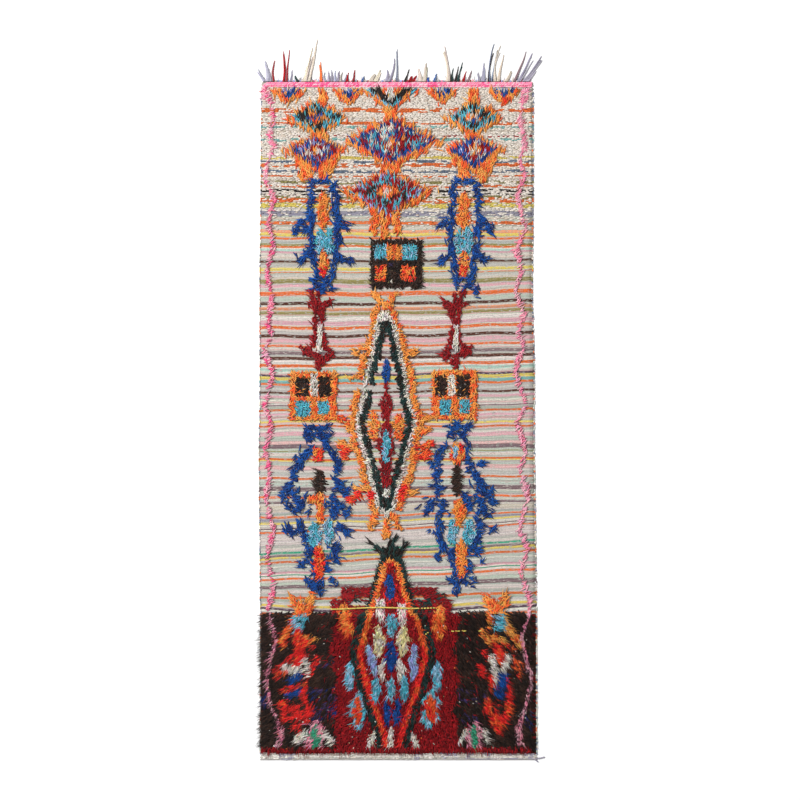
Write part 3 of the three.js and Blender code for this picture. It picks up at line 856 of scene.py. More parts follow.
# %% Tie the lower swimmers
LEFT_SWIMMER = [
    # half width, then the corners as (across from the middle, down)
    (15, (-44, 1394), (0, 1388), (46, 1386)),
    (14, (-38, 1412), (0, 1416), (40, 1414)),
    (9, (-40, 1420), (-34, 1452)), (9, (40, 1420), (38, 1456)),
    (9, (-40, 1380), (-48, 1372)), (9, (44, 1384), (60, 1374)),
    (20, (-38, 1470), (-70, 1510), (-96, 1556)),
    (17, (-96, 1556), (-104, 1620)),
    (27, (-106, 1626), (-122, 1650)), (26, (-72, 1668), (-60, 1706)), (18, (-104, 1690), (-76, 1712)),
    (17, (-118, 1784), (-98, 1800)), (16, (-70, 1764), (-56, 1808), (-34, 1880)),
    (18, (-62, 1920), (-54, 1926)), (12, (-22, 1872), (-18, 1960), (-8, 2010)),
    (12, (-44, 1998), (-20, 2022), (-8, 2026)), (12, (4, 1970), (12, 2036)),
    (16, (34, 1448), (58, 1484), (84, 1518)),
    (15, (86, 1536), (84, 1590)), (27, (88, 1606), (106, 1640)), (26, (52, 1672), (66, 1716)),
    (20, (96, 1690), (112, 1716)), (19, (96, 1784), (116, 1796)), (8, (82, 1822), (96, 1830)),
    (22, (68, 1862), (82, 1900)), (12, (46, 1900), (40, 1980)), (13, (54, 1992), (60, 2010)),
]
RIGHT_SWIMMER = [
    # half width, then the corners as (across from the middle, down)
    (16, (-34, 1384), (6, 1380), (44, 1376)), (17, (-26, 1408), (20, 1412)),
    (9, (-44, 1444), (-52, 1462)), (12, (22, 1432), (32, 1464), (44, 1500)),
    (13, (-54, 1466), (-74, 1496), (-92, 1508)), (11, (-92, 1512), (-108, 1520)),
    (18, (-84, 1520), (-88, 1570), (-84, 1640)), (24, (-104, 1684), (-122, 1708)),
    (22, (-60, 1676), (-56, 1716)), (9, (-100, 1800), (-112, 1806)),
    (15, (-82, 1762), (-74, 1810), (-54, 1868)), (9, (-78, 1890), (-74, 1912)),
    (13, (-28, 1868), (-22, 1930)), (18, (44, 1506), (58, 1560)), (9, (76, 1532), (116, 1520)),
    (16, (60, 1560), (76, 1600)), (28, (86, 1614), (112, 1640)), (22, (40, 1664), (44, 1706)),
    (26, (92, 1676), (108, 1730)), (10, (130, 1680), (150, 1676)), (16, (84, 1752), (84, 1820)),
    (14, (120, 1778), (138, 1790)), (22, (66, 1832), (74, 1870)), (9, (98, 1904), (102, 1916)),
    (13, (48, 1884), (44, 1976)), (16, (-8, 1944), (-2, 2034)), (11, (-40, 1990), (-16, 1996)),
    (12, (56, 1988), (68, 2014)), (10, (20, 1990), (28, 2004)),
]
LEFT_FILL = [
    # aside, top, foot, half, yarns, turn, wander, long
    (0, 1462, 1520, 23, "red red flame orange", 0, 40, 18),
    (6, 1548, 1656, 18, "umber soot umber", -70, 26, 29),
]
LEFT_TAIL_FILL = [
    # aside, top, foot, half, yarns, turn, wander, long
    (-10, 1758, 1866, 27, "turquoise sky turquoise", 0, 50, 16),
    (46, 1740, 1852, 20, "turquoise sky", 0, 50, 16),
    (4, 1850, 1992, 23, "orange flame red", 0, 55, 18),
    (6, 1924, 1990, 18, "red flame", 0, 55, 18),
]
RIGHT_FILL = [
    # aside, top, foot, half, yarns, turn, wander, long
    (-2, 1440, 1530, 30, "amber flame orange red", 0, 40, 18),
    (-8, 1458, 1506, 13, "turquoise sky", 0, 30, 16),
    (-2, 1532, 1652, 16, "umber soot umber", 80, 24, 30),
    (6, 1666, 1754, 26, "orange flame orange", 70, 40, 18),
    (-22, 1748, 1850, 23, "turquoise sky turquoise", 0, 50, 16),
    (46, 1748, 1850, 24, "turquoise sky turquoise", 0, 50, 16),
    (2, 1750, 1780, 18, "flame orange", 70, 40, 16),
    (14, 1832, 1986, 23, "orange flame orange", 0, 55, 18),
]


def tie_left_swimmer(middle):
    tie_swimmer(middle, 1, LEFT_SWIMMER, 21)
    fill_figure(middle, LEFT_FILL)
    field.tie(field.stroke(((middle - 22, 1668), (middle + 22, 1664)), 14), FLAME, 0, 40, 17)
    field.tie(field.stroke(((middle + 8, 1670), (middle + 12, 1758)), 13), FLAME, 0, 40, 17)
    fill_figure(middle, LEFT_TAIL_FILL)


def tie_right_swimmer(middle):
    tie_swimmer(middle, 1, RIGHT_SWIMMER, 21)
    fill_figure(middle, RIGHT_FILL)


tie_left_swimmer(-322)
tie_right_swimmer(240)
print(f"{int(field.tied.sum())} knots tied with the lower swimmers")

# %% [markdown]
# Boxes, hourglasses and the long lozenge.
# Framed boxes are plain blocks tied inside each other. The hourglasses are two forks that meet
# at a waist. The long lozenge has three rims, orange, cream and dark green, around bare cloth
# and a narrow core of blue, wine and turquoise.

# %% Tie the boxes and the hourglasses
def tie_box(frame_yarns, outer, cells):
    """A frame, the cells in it, and a few ends of the frame that stray over the cells. A box is
    given by its left, right, top and foot."""
    field.tie(field.block(*outer), frame_yarns, rng.uniform(-90, 90), 70, 21)
    for *cell, yarns in cells:
        field.tie(field.block(*cell), yarns, rng.uniform(-60, 60), 35, 15)
    field.tie(field.block(*outer), frame_yarns, rng.uniform(-90, 90), 70, 25, 0.025)


tie_box("umber soot", (-108, 96, 634, 822), (
    (-94, -46, 652, 710, AQUA), (-46, 18, 650, 712, "orange orange flame"),
    (18, 76, 650, 712, AQUA), (-92, -46, 736, 802, "flame orange red"),
    (12, 70, 736, 800, "flame orange red"), (-36, -20, 728, 746, "purple"),
    (-38, -20, 796, 808, "olive cream"),
))
tie_box(FLAME, (-430, -246, 1158, 1350), (
    (-410, -354, 1186, 1260, "umber soot"), (-352, -320, 1168, 1258, PALE),
    (-318, -268, 1178, 1260, "umber soot"), (-410, -350, 1276, 1338, "turquoise"),
    (-320, -274, 1276, 1330, "turquoise"),
))
tie_box(FLAME, (138, 314, 1154, 1348), (
    (150, 196, 1176, 1256, "umber soot"), (200, 230, 1170, 1256, PALE),
    (234, 286, 1172, 1262, "umber soot"), (164, 212, 1272, 1334, "turquoise"),
    (244, 288, 1270, 1328, "turquoise"),
))
field.tie(field.stroke(((-232, 1340), (-196, 1380)), 12), "flame red orange", 120, 25, 18, 0.7)
HOURGLASS = [
    # half width, then the corners as (across from the middle, down)
    (9, (-30, 838), (-14, 880)), (8, (54, 870), (24, 898)), (8, (0, 846), (2, 870)),
    (13, (-32, 888), (36, 892)), (13, (-8, 896), (10, 924)),
    (10, (-14, 900), (-10, 990)), (9, (26, 900), (10, 962)),
    (14, (-6, 984), (10, 1000)),
    (10, (-10, 1000), (-22, 1048), (-58, 1084)), (11, (16, 1010), (28, 1060), (54, 1090)),
    (13, (-44, 1080), (-10, 1092), (16, 1120)), (11, (-2, 1100), (-2, 1144)),
    (9, (30, 1090), (40, 1108)), (7, (-48, 1064), (-66, 1060)),
]
for middle, mirror in ((-318, 1), (230, -1)):
    for half, *corners in HOURGLASS:
        spots = [(middle + mirror * across, down) for across, down in corners]
        lean = field.splay(middle, 50, 80)
        field.tie(field.stroke(spots, 0.85 * half), WINES, lean, 40, 20)
    thread = ((middle + 5, 984), (middle + 2, 1074))
    field.tie(field.stroke(thread, 10), PALE, 0, 30, 16)
print(f"{int(field.tied.sum())} knots tied with the boxes")

# %% Tie the long lozenge
LONG_MIDDLE = -48
LONG_YARNS = "orange orange orange amber flame"
LONG_LINES = [
    # half width, then the corners as (across, down), of the broken orange outline
    (12, (-94, 846), (-76, 872), (-60, 896)), (11, (-12, 850), (-28, 876), (-42, 896)),
    (19, (-62, 886), (-48, 892)), (13, (-78, 902), (-96, 942), (-104, 992), (-112, 1042), (-121, 1084)),
    (13, (-134, 1096), (-144, 1130), (-146, 1176)), (9, (-160, 1178), (-186, 1180)),
    (13, (-166, 1238), (-176, 1310), (-186, 1380)), (15, (-184, 1384), (-178, 1422), (-168, 1466)),
    (14, (-166, 1470), (-142, 1547), (-131, 1590)), (14, (-116, 1618), (-104, 1700)),
    (12, (-30, 902), (-4, 962), (10, 1017), (26, 1060)), (13, (26, 1062), (34, 1110), (42, 1142)),
    (13, (44, 1150), (56, 1200), (58, 1250)), (13, (60, 1252), (68, 1296), (84, 1330)),
    (20, (84, 1332), (92, 1380)), (16, (78, 1392), (74, 1440)),
    (14, (60, 1470), (54, 1522), (48, 1574)), (16, (42, 1590), (30, 1630), (22, 1662)),
    (13, (20, 1664), (2, 1700)),
    (13, (-84, 1720), (-96, 1746), (-110, 1784)), (13, (-34, 1728), (-12, 1744), (2, 1782)),
    (15, (-50, 1762), (-50, 1806)), (8, (-66, 1812), (-34, 1812)),
]
LONG_DARK = (
    # down, half width
    (958, 18), (975, 27), (1000, 29), (1042, 37), (1092, 45), (1132, 56), (1172, 66),
    (1202, 69), (1242, 74), (1282, 85), (1322, 96), (1352, 106), (1397, 98), (1422, 91),
    (1472, 78), (1522, 64), (1572, 51), (1612, 41), (1652, 32), (1700, 20), (1716, 6),
)
CORE = [
    # top, foot, half, yarns
    (1112, 1208, 15, "blue"),
    (1202, 1232, 8, "wine"),
    (1240, 1360, 24, WINES),
    (1358, 1552, 33, "wine burgundy wine"),
    (1390, 1532, 17, "turquoise sky turquoise"),
    (1522, 1622, 29, "wine burgundy"),
]
WINGS = [
    # yarns, half width, then the corners as (across, down)
    ("red flame", 13, (-196, 1466), (-222, 1450), (-216, 1500)),
    ("orange amber", 11, (-190, 1456), (-226, 1440)),
    ("red flame orange", 12, (82, 1470), (110, 1452), (132, 1446)),
    ("red flame", 12, (76, 1500), (104, 1496), (130, 1486)),
    ("orange flame", 10, (92, 1400), (118, 1392)), ("orange amber", 10, (98, 1350), (124, 1340)),
    ("orange amber", 9, (-126, 1628), (-150, 1622), (-174, 1626)),
    ("red flame", 14, (-160, 1652), (-190, 1668)), ("red", 12, (-112, 1650), (-110, 1660)),
    ("red flame", 14, (26, 1626), (14, 1664)), ("orange amber", 9, (50, 1636), (74, 1644)),
    ("amber orange", 12, (-176, 1074), (-172, 1088)), ("amber orange", 12, (48, 1080), (74, 1078)),
    ("amber orange", 9, (-142, 1064), (-120, 1062)),
]


def tie_long_lozenge():
    """The orange outline, the cream and dark rims inside it, the core, and the wings outside."""
    dark = field.inside(LONG_MIDDLE, LONG_DARK)
    lean = field.splay(LONG_MIDDLE, 60, 70)
    for half, *corners in LONG_LINES:
        field.tie(field.stroke(corners, 0.84 * half, 0.4), LONG_YARNS, lean, 40, 19)
    dark = dark + 3 * field.ragged
    field.tie((dark > -17) & (dark < 0), "cream white cream", lean, 35, 16, 0.72)
    field.tie(field.feather(LONG_MIDDLE - 8, 916, 972, 26), PALE, lean, 35, 15)
    field.tie((dark > 1) & (dark < 21), PINES, lean, 35, 17)
    field.tie(field.block(-74, -28, 964, 1000), PINES, lean, 35, 16)
    field.tie(field.block(-74, -34, 1660, 1712) & (dark > 0), PINES, lean, 35, 16)
    field.leave_bare((dark > -6) & field.block(-140, -84, 1208, 1236))
    for corners in (((-98, 1344), (-96, 1414)), ((2, 1352), (4, 1404))):
        field.tie(field.stroke(corners, 19), "orange amber flame", lean, 45, 17)
    for top, foot, half, yarns in CORE:
        field.tie(field.feather(LONG_MIDDLE, top, foot, half), yarns, lean, 40, 16)
    field.tie(field.feather(LONG_MIDDLE + 4, 1628, 1662, 16), PALE, 0, 40, 14)
    field.tie(field.feather(LONG_MIDDLE + 4, 1714, 1748, 12), PALE, 0, 40, 14)
    for yarns, half, *corners in WINGS:
        outward = 75 * np.sign(corners[0][0] - LONG_MIDDLE)
        field.tie(field.stroke(corners, half), yarns, outward, 24, 23)


tie_long_lozenge()
print(f"{int(field.tied.sum())} knots tied with the long lozenge")

# %% [markdown]
# The crowned figure.
# A dark green crown of spikes rises out of the shag. Orange lines run down from its neck and
# open into the great lozenge of the shag panel, and wine shoulders step out on both sides.

# %% Tie the crown and shoulders
CROWN_MIDDLE = -28
CROWN = (
    # down, half width
    (1862, 34), (1880, 44), (1910, 44), (1950, 56), (1990, 66), (2030, 80), (2080, 92), (2140, 118),
)
NECK = ((1908, 10), (1932, 38), (1966, 44), (2012, 56), (2052, 68), (2112, 88), (2140, 98))
SPIKES = [
    # half width, then the corners as (across, down)
    (6, (-118, 1836), (-92, 1856), (-62, 1884)),
    (9, (-84, 1864), (-56, 1890)),
    (7, (-8, 1822), (-24, 1846), (-36, 1874)),
    (11, (-26, 1842), (-34, 1880)),
    (6, (40, 1836), (30, 1856), (2, 1880)),
    (9, (20, 1862), (0, 1890)),
]
GREEN_BARS = [
    # left, right, top, foot
    (-250, -196, 2092, 2140), (-180, -150, 2050, 2076),
    (82, 134, 2060, 2132), (142, 190, 2044, 2080),
]
BARE_BARS = [(-178, -112, 2056, 2073), (38, 108, 2052, 2072), (-192, -122, 2078, 2094)]


def tie_crown():
    """Shoulders first, then the crown, the neck over it, and the clumps above the shag."""
    lean = field.splay(CROWN_MIDDLE, 80, 50)
    shoulder = field.block(-226, 152, 2022, 2084) | field.block(-264, 212, 2070, SHAG_TOP + 8)
    field.tie(shoulder, WINES, lean * 1.6, 30, 20)
    for bar in GREEN_BARS:
        field.tie(field.block(*bar), "pine pine wine", lean, 35, 19, 0.8)
    for bar in BARE_BARS:
        field.leave_bare(field.block(*bar))
    field.tie(field.inside(CROWN_MIDDLE, CROWN) > 0, PINES, lean, 30, 22)
    for half, *corners in SPIKES:
        (tip_across, tip_down), (foot_across, foot_down) = corners[0], corners[-1]
        turn = np.degrees(np.arctan2(tip_across - foot_across, foot_down - tip_down))
        field.tie(field.stroke(corners, half), "pine soot", turn, 10, 25)
    neck = field.inside(CROWN_MIDDLE, NECK)
    field.tie(neck > 0, "orange flame orange", field.splay(CROWN_MIDDLE, 40, 70), 35, 20)
    field.tie(neck > 22, "wine red wine burgundy", 180, 30, 17)
    field.tie(field.feather(CROWN_MIDDLE - 2, 1962, 2070, 22), "blue", 180, 25, 17)
    for middle, top in ((-71, 2066), (15, 2082)):
        strip = field.block(middle - 19, middle + 19, top, SHAG_TOP + 6)
        field.tie(strip, "shell cream white", 180, 30, 16)
    for middle in (-384, 392):
        for aside, top in ((-44, 2062), (-4, 2074), (42, 2060)):
            spike = ((middle + aside, top), (middle + 0.3 * aside, SHAG_TOP))
            field.tie(field.stroke(spike, 12, 0.5), FLAME, 1.2 * aside, 34, 26)
    for middle in (-214, 164):
        field.tie(field.feather(middle, 2086, 2220, 30), FLAME, 0, 40, 20)


tie_crown()
print(f"{int(field.tied.sum())} knots tied above the shag")

# %% [markdown]
# The pink lines.
# Two lines of short pink tufts wander down the sides. They run on through the shag, where the
# same yarn is longer.

# %% Tie the pink lines
LEFT_LINE = (
    # down, across
    (26, -534), (56, -530), (84, -508), (144, -498), (220, -512), (260, -496), (332, -524),
    (392, -530), (472, -496), (572, -520), (652, -496), (752, -524), (872, -504), (972, -520),
    (1012, -504), (1072, -536), (1160, -500), (1292, -532), (1384, -504), (1472, -532),
    (1552, -512), (1672, -528), (1792, -496), (1892, -524), (2012, -496), (2112, -520),
    (2228, -484), (2376, -526), (2488, -508), (2596, -462), (2660, -480), (2672, -484),
)
RIGHT_LINE = (
    # down, across
    (26, 512), (144, 488), (260, 508), (312, 484), (372, 508), (456, 476), (532, 496),
    (592, 508), (672, 472), (760, 496), (832, 468), (932, 504), (1000, 480), (1052, 504),
    (1160, 468), (1292, 512), (1360, 476), (1484, 512), (1544, 488), (1660, 520), (1792, 484),
    (1864, 520), (1960, 488), (2072, 528), (2124, 524), (2220, 494), (2308, 511), (2384, 536),
    (2496, 508), (2588, 478), (2650, 492),
)
pink = Knots(22, SHAG_TOP + 10, 5.6, 5.6)
PINK_LINES = [
    # line, the turn of its pile, yarns
    (LEFT_LINE, 62, "rose rose shell shell cerise"),
    (RIGHT_LINE, 48, "rose shell shell rose"),
]
for rows, slope, yarns in PINK_LINES:
    near = np.abs(pink.beside_line(rows))
    thin = 6.6 + 3.5 * np.sin(pink.down / 23) * np.sin(pink.down / 61) + 7 * (pink.down < 84)
    pink.tie(near < thin, yarns, slope, 26, 21, 0.7)
    field.leave_bare(np.abs(field.beside_line(rows)) < 11)
print(f"{int(pink.tied.sum())} pink knots")

# %% [markdown]
# The shag panel.
# The last half metre is long pile, two ends to a knot, combed outwards from the middle. Its
# ground is brown-black with a wine centre. The great lozenge and its feathers are tied over it.

# %% Tie the shag
shag = Knots(SHAG_TOP, SHAG_FOOT - 8, 7.3, 6.8)
PANEL_MIDDLE = -21
PANEL_RIM = (
    # down, half width
    (2080, 76), (2112, 87), (2186, 108), (2266, 128), (2318, 127), (2392, 104), (2455, 87),
    (2517, 63), (2595, 38), (2677, 19), (2690, 16),
)
FEATHERS = [
    # yarns, then each pointed oval as its middle, top, foot, half width and, if it leans, slant
    ("shell cream white", (-71, 2080, 2160, 18), (22, 2080, 2168, 18)),
    (AQUA, (-25, 2120, 2220, 22)),
    ("lemon lemon cream", (-74, 2170, 2298, 21), (20, 2172, 2292, 24)),
    (DEEP, (-25, 2234, 2354, 22)),
    ("lavender lavender sky", (-106, 2246, 2372, 17, 0.2), (60, 2242, 2394, 17)),
    (PALE, (-62, 2304, 2394, 14), (10, 2302, 2400, 17, 0.1)),
    (AQUA, (-87, 2374, 2480, 18), (-26, 2374, 2480, 18), (26, 2368, 2480, 18)),
    (DEEP, (-44, 2470, 2578, 14, 0.1), (-5, 2466, 2572, 15, -0.1)),
    (PALE, (-28, 2578, 2682, 11)),
    ("orange flame flame", (-206, 2080, 2224, 26, 0.05), (162, 2080, 2230, 27)),
    ("sky sky turquoise", (-192, 2314, 2434, 20), (155, 2314, 2434, 20)),
    ("sky turquoise", (138, 2410, 2470, 11, -0.3)),
    ("turquoise sky", (-158, 2434, 2590, 30), (128, 2434, 2584, 36, -0.1)),
    ("red flame", (-160, 2452, 2570, 18), (132, 2446, 2564, 24, 0.1)),
    (PALE, (-108, 2590, 2672, 12, -0.35), (68, 2592, 2674, 12, 0.35)),
    ("rose rose shell", (-325, 2548, 2690, 37), (302, 2548, 2690, 29)),
    ("green", (-326, 2562, 2700, 17), (302, 2560, 2690, 14)),
    (PALE, (-384, 2580, 2646, 22, -0.6), (-280, 2582, 2652, 18, 0.5)),
    (PALE, (256, 2582, 2652, 13, -0.45), (350, 2580, 2646, 12, 0.2)),
]
STREAKS = [
    # yarns, half width, then the corners as (across, down): the side figures
    ("orange flame orange", 17, (-400, 2100), (-372, 2124)),
    ("orange flame flame red", 16, (-402, 2128), (-430, 2180), (-456, 2240)),
    (AQUA, 14, (-378, 2138), (-412, 2152)),
    (AQUA, 14, (-382, 2170), (-408, 2186)),
    ("orange flame amber", 15, (-378, 2222), (-336, 2226)),
    (REDS, 17, (-394, 2200), (-398, 2300)), (REDS, 16, (-372, 2240), (-388, 2310)),
    ("red umber red", 13, (-420, 2290), (-478, 2340)),
    ("red umber flame", 12, (-430, 2340), (-484, 2372)),
    ("umber red", 13, (-336, 2262), (-364, 2306)), ("red umber red", 14, (-322, 2304), (-344, 2372)),
    (PALE, 12, (-370, 2312), (-402, 2342), (-452, 2332)),
    ("white cream white", 12, (-360, 2340), (-394, 2372), (-424, 2352)),
    ("red", 9, (-392, 2326), (-416, 2318)), ("red cream", 9, (-360, 2362), (-374, 2394)),
    (DEEP, 15, (-388, 2374), (-426, 2392)), (DEEP, 15, (-386, 2430), (-428, 2450)),
    ("red red umber flame", 12, (-372, 2398), (-452, 2432)), ("red", 12, (-366, 2420), (-372, 2460)),
    ("red red umber red", 20, (-350, 2480), (-400, 2502), (-452, 2506)),
    ("red red umber red", 20, (-352, 2510), (-400, 2540), (-440, 2540)),
    ("red umber red", 18, (-372, 2550), (-404, 2580)),
    ("red umber flame", 11, (-440, 2470), (-470, 2486)),
    ("orange flame orange", 17, (350, 2104), (400, 2118)), ("orange flame", 10, (366, 2120), (364, 2188)),
    ("orange amber", 10, (424, 2128), (438, 2170)), (AQUA, 22, (400, 2140), (410, 2176)),
    ("orange amber flame", 15, (336, 2204), (358, 2240)),
    ("orange flame amber", 14, (380, 2222), (420, 2236)),
    ("orange amber flame", 16, (440, 2184), (458, 2212), (484, 2240)),
    (REDS, 22, (400, 2264), (414, 2310)), ("flame umber red", 10, (440, 2250), (466, 2266)),
    ("red umber red", 11, (346, 2284), (358, 2312)), ("red", 12, (326, 2336), (336, 2372)),
    ("red flame umber", 10, (450, 2296), (490, 2326)), ("red umber flame", 11, (458, 2326), (486, 2364)),
    ("white cream white", 13, (376, 2300), (382, 2350), (388, 2398)),
    ("white cream white", 12, (440, 2296), (422, 2334), (416, 2366)),
    ("red flame", 9, (366, 2376), (372, 2424)), (DEEP, 19, (414, 2370), (402, 2446)),
    ("red umber", 9, (440, 2386), (450, 2412)), ("red umber red", 12, (440, 2420), (446, 2470)),
    ("red flame red", 14, (352, 2468), (362, 2518)), ("red flame red", 15, (442, 2480), (440, 2528)),
    ("red umber soot", 15, (392, 2478), (400, 2520)), (REDS, 21, (382, 2536), (418, 2548)),
    (REDS, 16, (386, 2560), (404, 2588)),
]
TINTS = [
    # left, right, top, foot, yarns: darker lots of yarn in the brown ground
    (-364, -246, 2418, 2546, "purple soot purple soot navy"),
    (-316, -250, 2288, 2344, "purple soot umber"),
    (236, 352, 2424, 2480, "purple soot soot"),
    (252, 312, 2524, 2572, "purple soot"),
    (512, 556, 2514, 2596, "purple navy soot"),
    (-552, -520, 2440, 2500, "navy soot purple"),
]
COMBED = np.array([
    # across, turn
    (-550, 235), (-300, 230), (-200, 216), (-70, 194), (100, 180),
    (190, 156), (290, 130), (510, 128), (550, 156),
], float)
RED_LEFT = -258
RED_RIGHT = 236
LINE_TURNS = 2252


def comb():
    """The way the shag lies: down-left at the left, straight down in the middle, down-right."""
    turns = column(COMBED, shag.across, 1)
    turns += 9 * np.sin(shag.across / 41 + shag.down / 67)
    return turns + 7 * np.sin(shag.across / 17 - shag.down / 23)


def tie_shag():
    """The two grounds, the great lozenge, and the figures over them. Returns the brown ground."""
    way = comb()
    edge = 10 * np.sin(shag.down / 37) + 8 * np.sin(shag.down / 13)
    brown = (shag.across < RED_LEFT + edge) | (shag.across > RED_RIGHT + edge)
    shag.tie(brown, "umber umber soot soot soot", way, 12, 43)
    shag.tie(~brown, WINES, way, 30, 17)
    for *patch, yarns in TINTS:
        shag.tie(shag.block(*patch), yarns, way, 12, 41, 0.6)
    bleeds = brown & (np.abs(shag.across) < 330) & (rng.random(len(way)) < 0.06)
    shag.tie(bleeds, "wine burgundy", way, 20, 30)
    rim = shag.inside(PANEL_MIDDLE, PANEL_RIM)
    shag.tie((rim > -42) & (rim < 0), PINES, way, 24, 28, 0.86)
    line = np.abs(rim) < 11.5
    shag.tie(line & (shag.down < LINE_TURNS), "orange flame flame", way, 22, 28)
    shag.tie(line & (shag.down >= LINE_TURNS), "red red red flame", way, 20, 28)
    for yarns, *ovals in FEATHERS:
        for oval in ovals:
            shag.tie(shag.feather(*oval), yarns, way, 22, 30)
    for yarns, half, *corners in STREAKS:
        shag.tie(shag.stroke(corners, half), yarns, way, 13, 41)
    for rows, slope in ((LEFT_LINE, 215), (RIGHT_LINE, 190)):
        near = np.abs(shag.beside_line(rows)) < 7 + 5 * (shag.down > 2570)
        shag.tie(near, "rose shell rose shell", slope, 18, 30, 0.95)
    shag.tie(shag.down > 2660, WINES, 180, 18, 27)
    return brown


is_brown = tie_shag()
side_share = share_of(shag.across, shag.down)
inside_cloth = (side_share > 0.003) & (side_share < 0.982)
print(f"{int(shag.tied.sum())} knots tied in the shag")

# %% [markdown]
# Growing the pile.
# Each set of knots is grown into pieces of under 200,000 triangles, split where the rug itself
# changes: the lozenges, the swimmers and boxes, the lower figures, and the two grounds of the
# shag. Shag rises higher from its root and lies longer than the short pile. Three kinds of pile
# are named first, and one function grows a tuft or two at each knot.

# %% Three kinds of pile
PILE = {
    # ends in a knot, width, how high a tuft rises, how high its root sits
    "material": PILE_WOOL, "slot": "pile_wool", "shape": TUFT, "ends": 1,
    "thick": 7.6, "rise": 10.5, "foot": 2.6,
    # how light the root is beside the tip, a painted shade, and how light the yarn is drawn beside its
    # colour in daylight
    "root": 0.6, "shade": 1.0,
}
PINK_PILE = {**PILE, "slot": "pink_wool", "thick": 6.8, "rise": 6.5, "root": 0.8}
SHAG = {
    "material": SHAG_WOOL, "slot": "shag_wool", "shape": SHAG_END, "ends": 2,
    # The shag's yarn is drawn lighter than the same yarn in the pile: painted light against the shade
    # between its long strands.
    "thick": 4.9, "rise": 15, "foot": 3.0, "root": 0.7, "shade": 1.18,
}
LOWEST = 0.4
TUFT_SPREAD = 1.1
PILE_WEAR = 0.22


def tufts(name, knots, chosen, kind):
    """Grows the chosen knots into pile, each tuft bent over and centred on its knot's place."""
    spots = np.repeat(np.flatnonzero(knots.tied & chosen), kind["ends"])
    count = len(spots)
    turn = np.radians(knots.turn[spots] + rng.normal(0, 11, count))
    way = np.stack([np.sin(turn), np.cos(turn), np.zeros(count)], axis=1)
    side = np.stack([way[:, 1], -way[:, 0], np.zeros(count)], axis=1)
    long = knots.long[spots] * rng.uniform(0.85, 1.1, count)
    across = knots.across[spots] + rng.normal(0, TUFT_SPREAD, count)
    down = knots.down[spots] + rng.normal(0, TUFT_SPREAD, count)
    start = metres(across, down, np.full(count, kind["foot"])) - way * (0.4 * long * MM)[:, None]
    high = kind["rise"] * rng.uniform(0.6, 1.15, count)
    curl = rng.normal(0, 0.16, count)
    width = kind["thick"] / 2 * rng.uniform(0.8, 1.15, count)

    def centre(t):
        ahead = (long * (0.45 * t + 0.55 * t * t) * MM)[:, None]
        aside = (curl * long * t * t * MM)[:, None]
        up = (high * (1 - (1 - t) ** 2) * MM)[:, None] * np.array([0, 0, 1.0])
        return start + way * ahead + side * aside + up

    def radius(t):
        return width * (1 - 0.62 * t * t) * MM

    points = bend_strands(kind["shape"], centre, radius)
    points[..., 2] = np.maximum(points[..., 2], LOWEST * MM)
    colours = worn(knots.colour[spots] * kind["shade"], PILE_WEAR)
    mesh = join_copies(name, kind["shape"], points, colours, root=kind["root"])
    print(f"{name}: {count} tufts")
    return finish_mesh(name, mesh, kind["material"])


# %% Grow every knot
LOZENGES_END = 380
BOXES_END = 1360
is_top = field.down < LOZENGES_END
is_lower = field.down >= BOXES_END
pile_pieces = [
    tufts("lozenge_pile", field, is_top, PILE),
    tufts("swimmer_pile", field, ~is_top & ~is_lower, PILE),
    tufts("lower_pile", field, is_lower, PILE),
    tufts("pink_lines", pink, pink.tied, PINK_PILE),
    tufts("shag_brown", shag, is_brown & inside_cloth, SHAG),
    tufts("shag_red", shag, ~is_brown & inside_cloth, SHAG),
]

# %% [markdown]
# Loops and turns of weft.
# Near the top the weaver packed in short loops of cream wool that all but hide the stripes, so
# these show as dashes. Each loop is a small bead, stretched along the weft. The same bead serves
# where the wefts turn back at the two edges, and as the strokes of the pink twined edge.

# %% Helpers that shape and lay beads
def bead():
    """A small closed pillow of twelve faces, about one unit in half length."""
    bm = bmesh.new()
    bmesh.ops.create_uvsphere(bm, u_segments=4, v_segments=3, radius=1)
    eighth = Matrix.Rotation(math.pi / 4, 3, "Z")
    bmesh.ops.rotate(bm, verts=bm.verts[:], cent=(0, 0, 0), matrix=eighth)
    bmesh.ops.scale(bm, verts=bm.verts[:], vec=(1.3, 1.3, 1))
    return template_of(bm)


def bead_sizes(count, *spans):
    """Half length, half width and half height of each bead, drawn from three spans."""
    return np.stack([rng.uniform(low, high, count) for low, high in spans], axis=1)


def beads(name, spots, turn, sizes, colours):
    """Lays a bead at each spot: its length along turn, its width and height from sizes."""
    way = np.stack([np.cos(turn), np.sin(turn), np.zeros(len(turn))], axis=1)
    side = np.stack([-way[:, 1], way[:, 0], way[:, 2]], axis=1)
    ball = BEAD["points"]
    points = (
        spots[:, None]
        + way[:, None] * (ball[:, 0] * sizes[:, :1] * MM)[:, :, None]
        + side[:, None] * (ball[:, 1] * sizes[:, 1:2] * MM)[:, :, None]
        + np.array([0, 0, 1.0]) * (ball[:, 2] * sizes[:, 2:] * MM)[:, :, None]
    )
    print(f"{name}: {len(spots)} beads")
    return finish_mesh(name, join_copies(name, BEAD, points, colours), LOOP_WOOL)


BEAD = bead()
print(f"a bead has {len(BEAD['sizes'])} faces")

# %% Loops over the top stripes
LOOP_ROWS = np.arange(26, 600, 5.5), np.arange(-538, 536, 9.6)
HEM_ROWS = np.arange(2686, 2707, 6.4), np.arange(-540, 546, 8.6)
DASH_LOTS = (64, 400)
HEM_PATCHES = 64


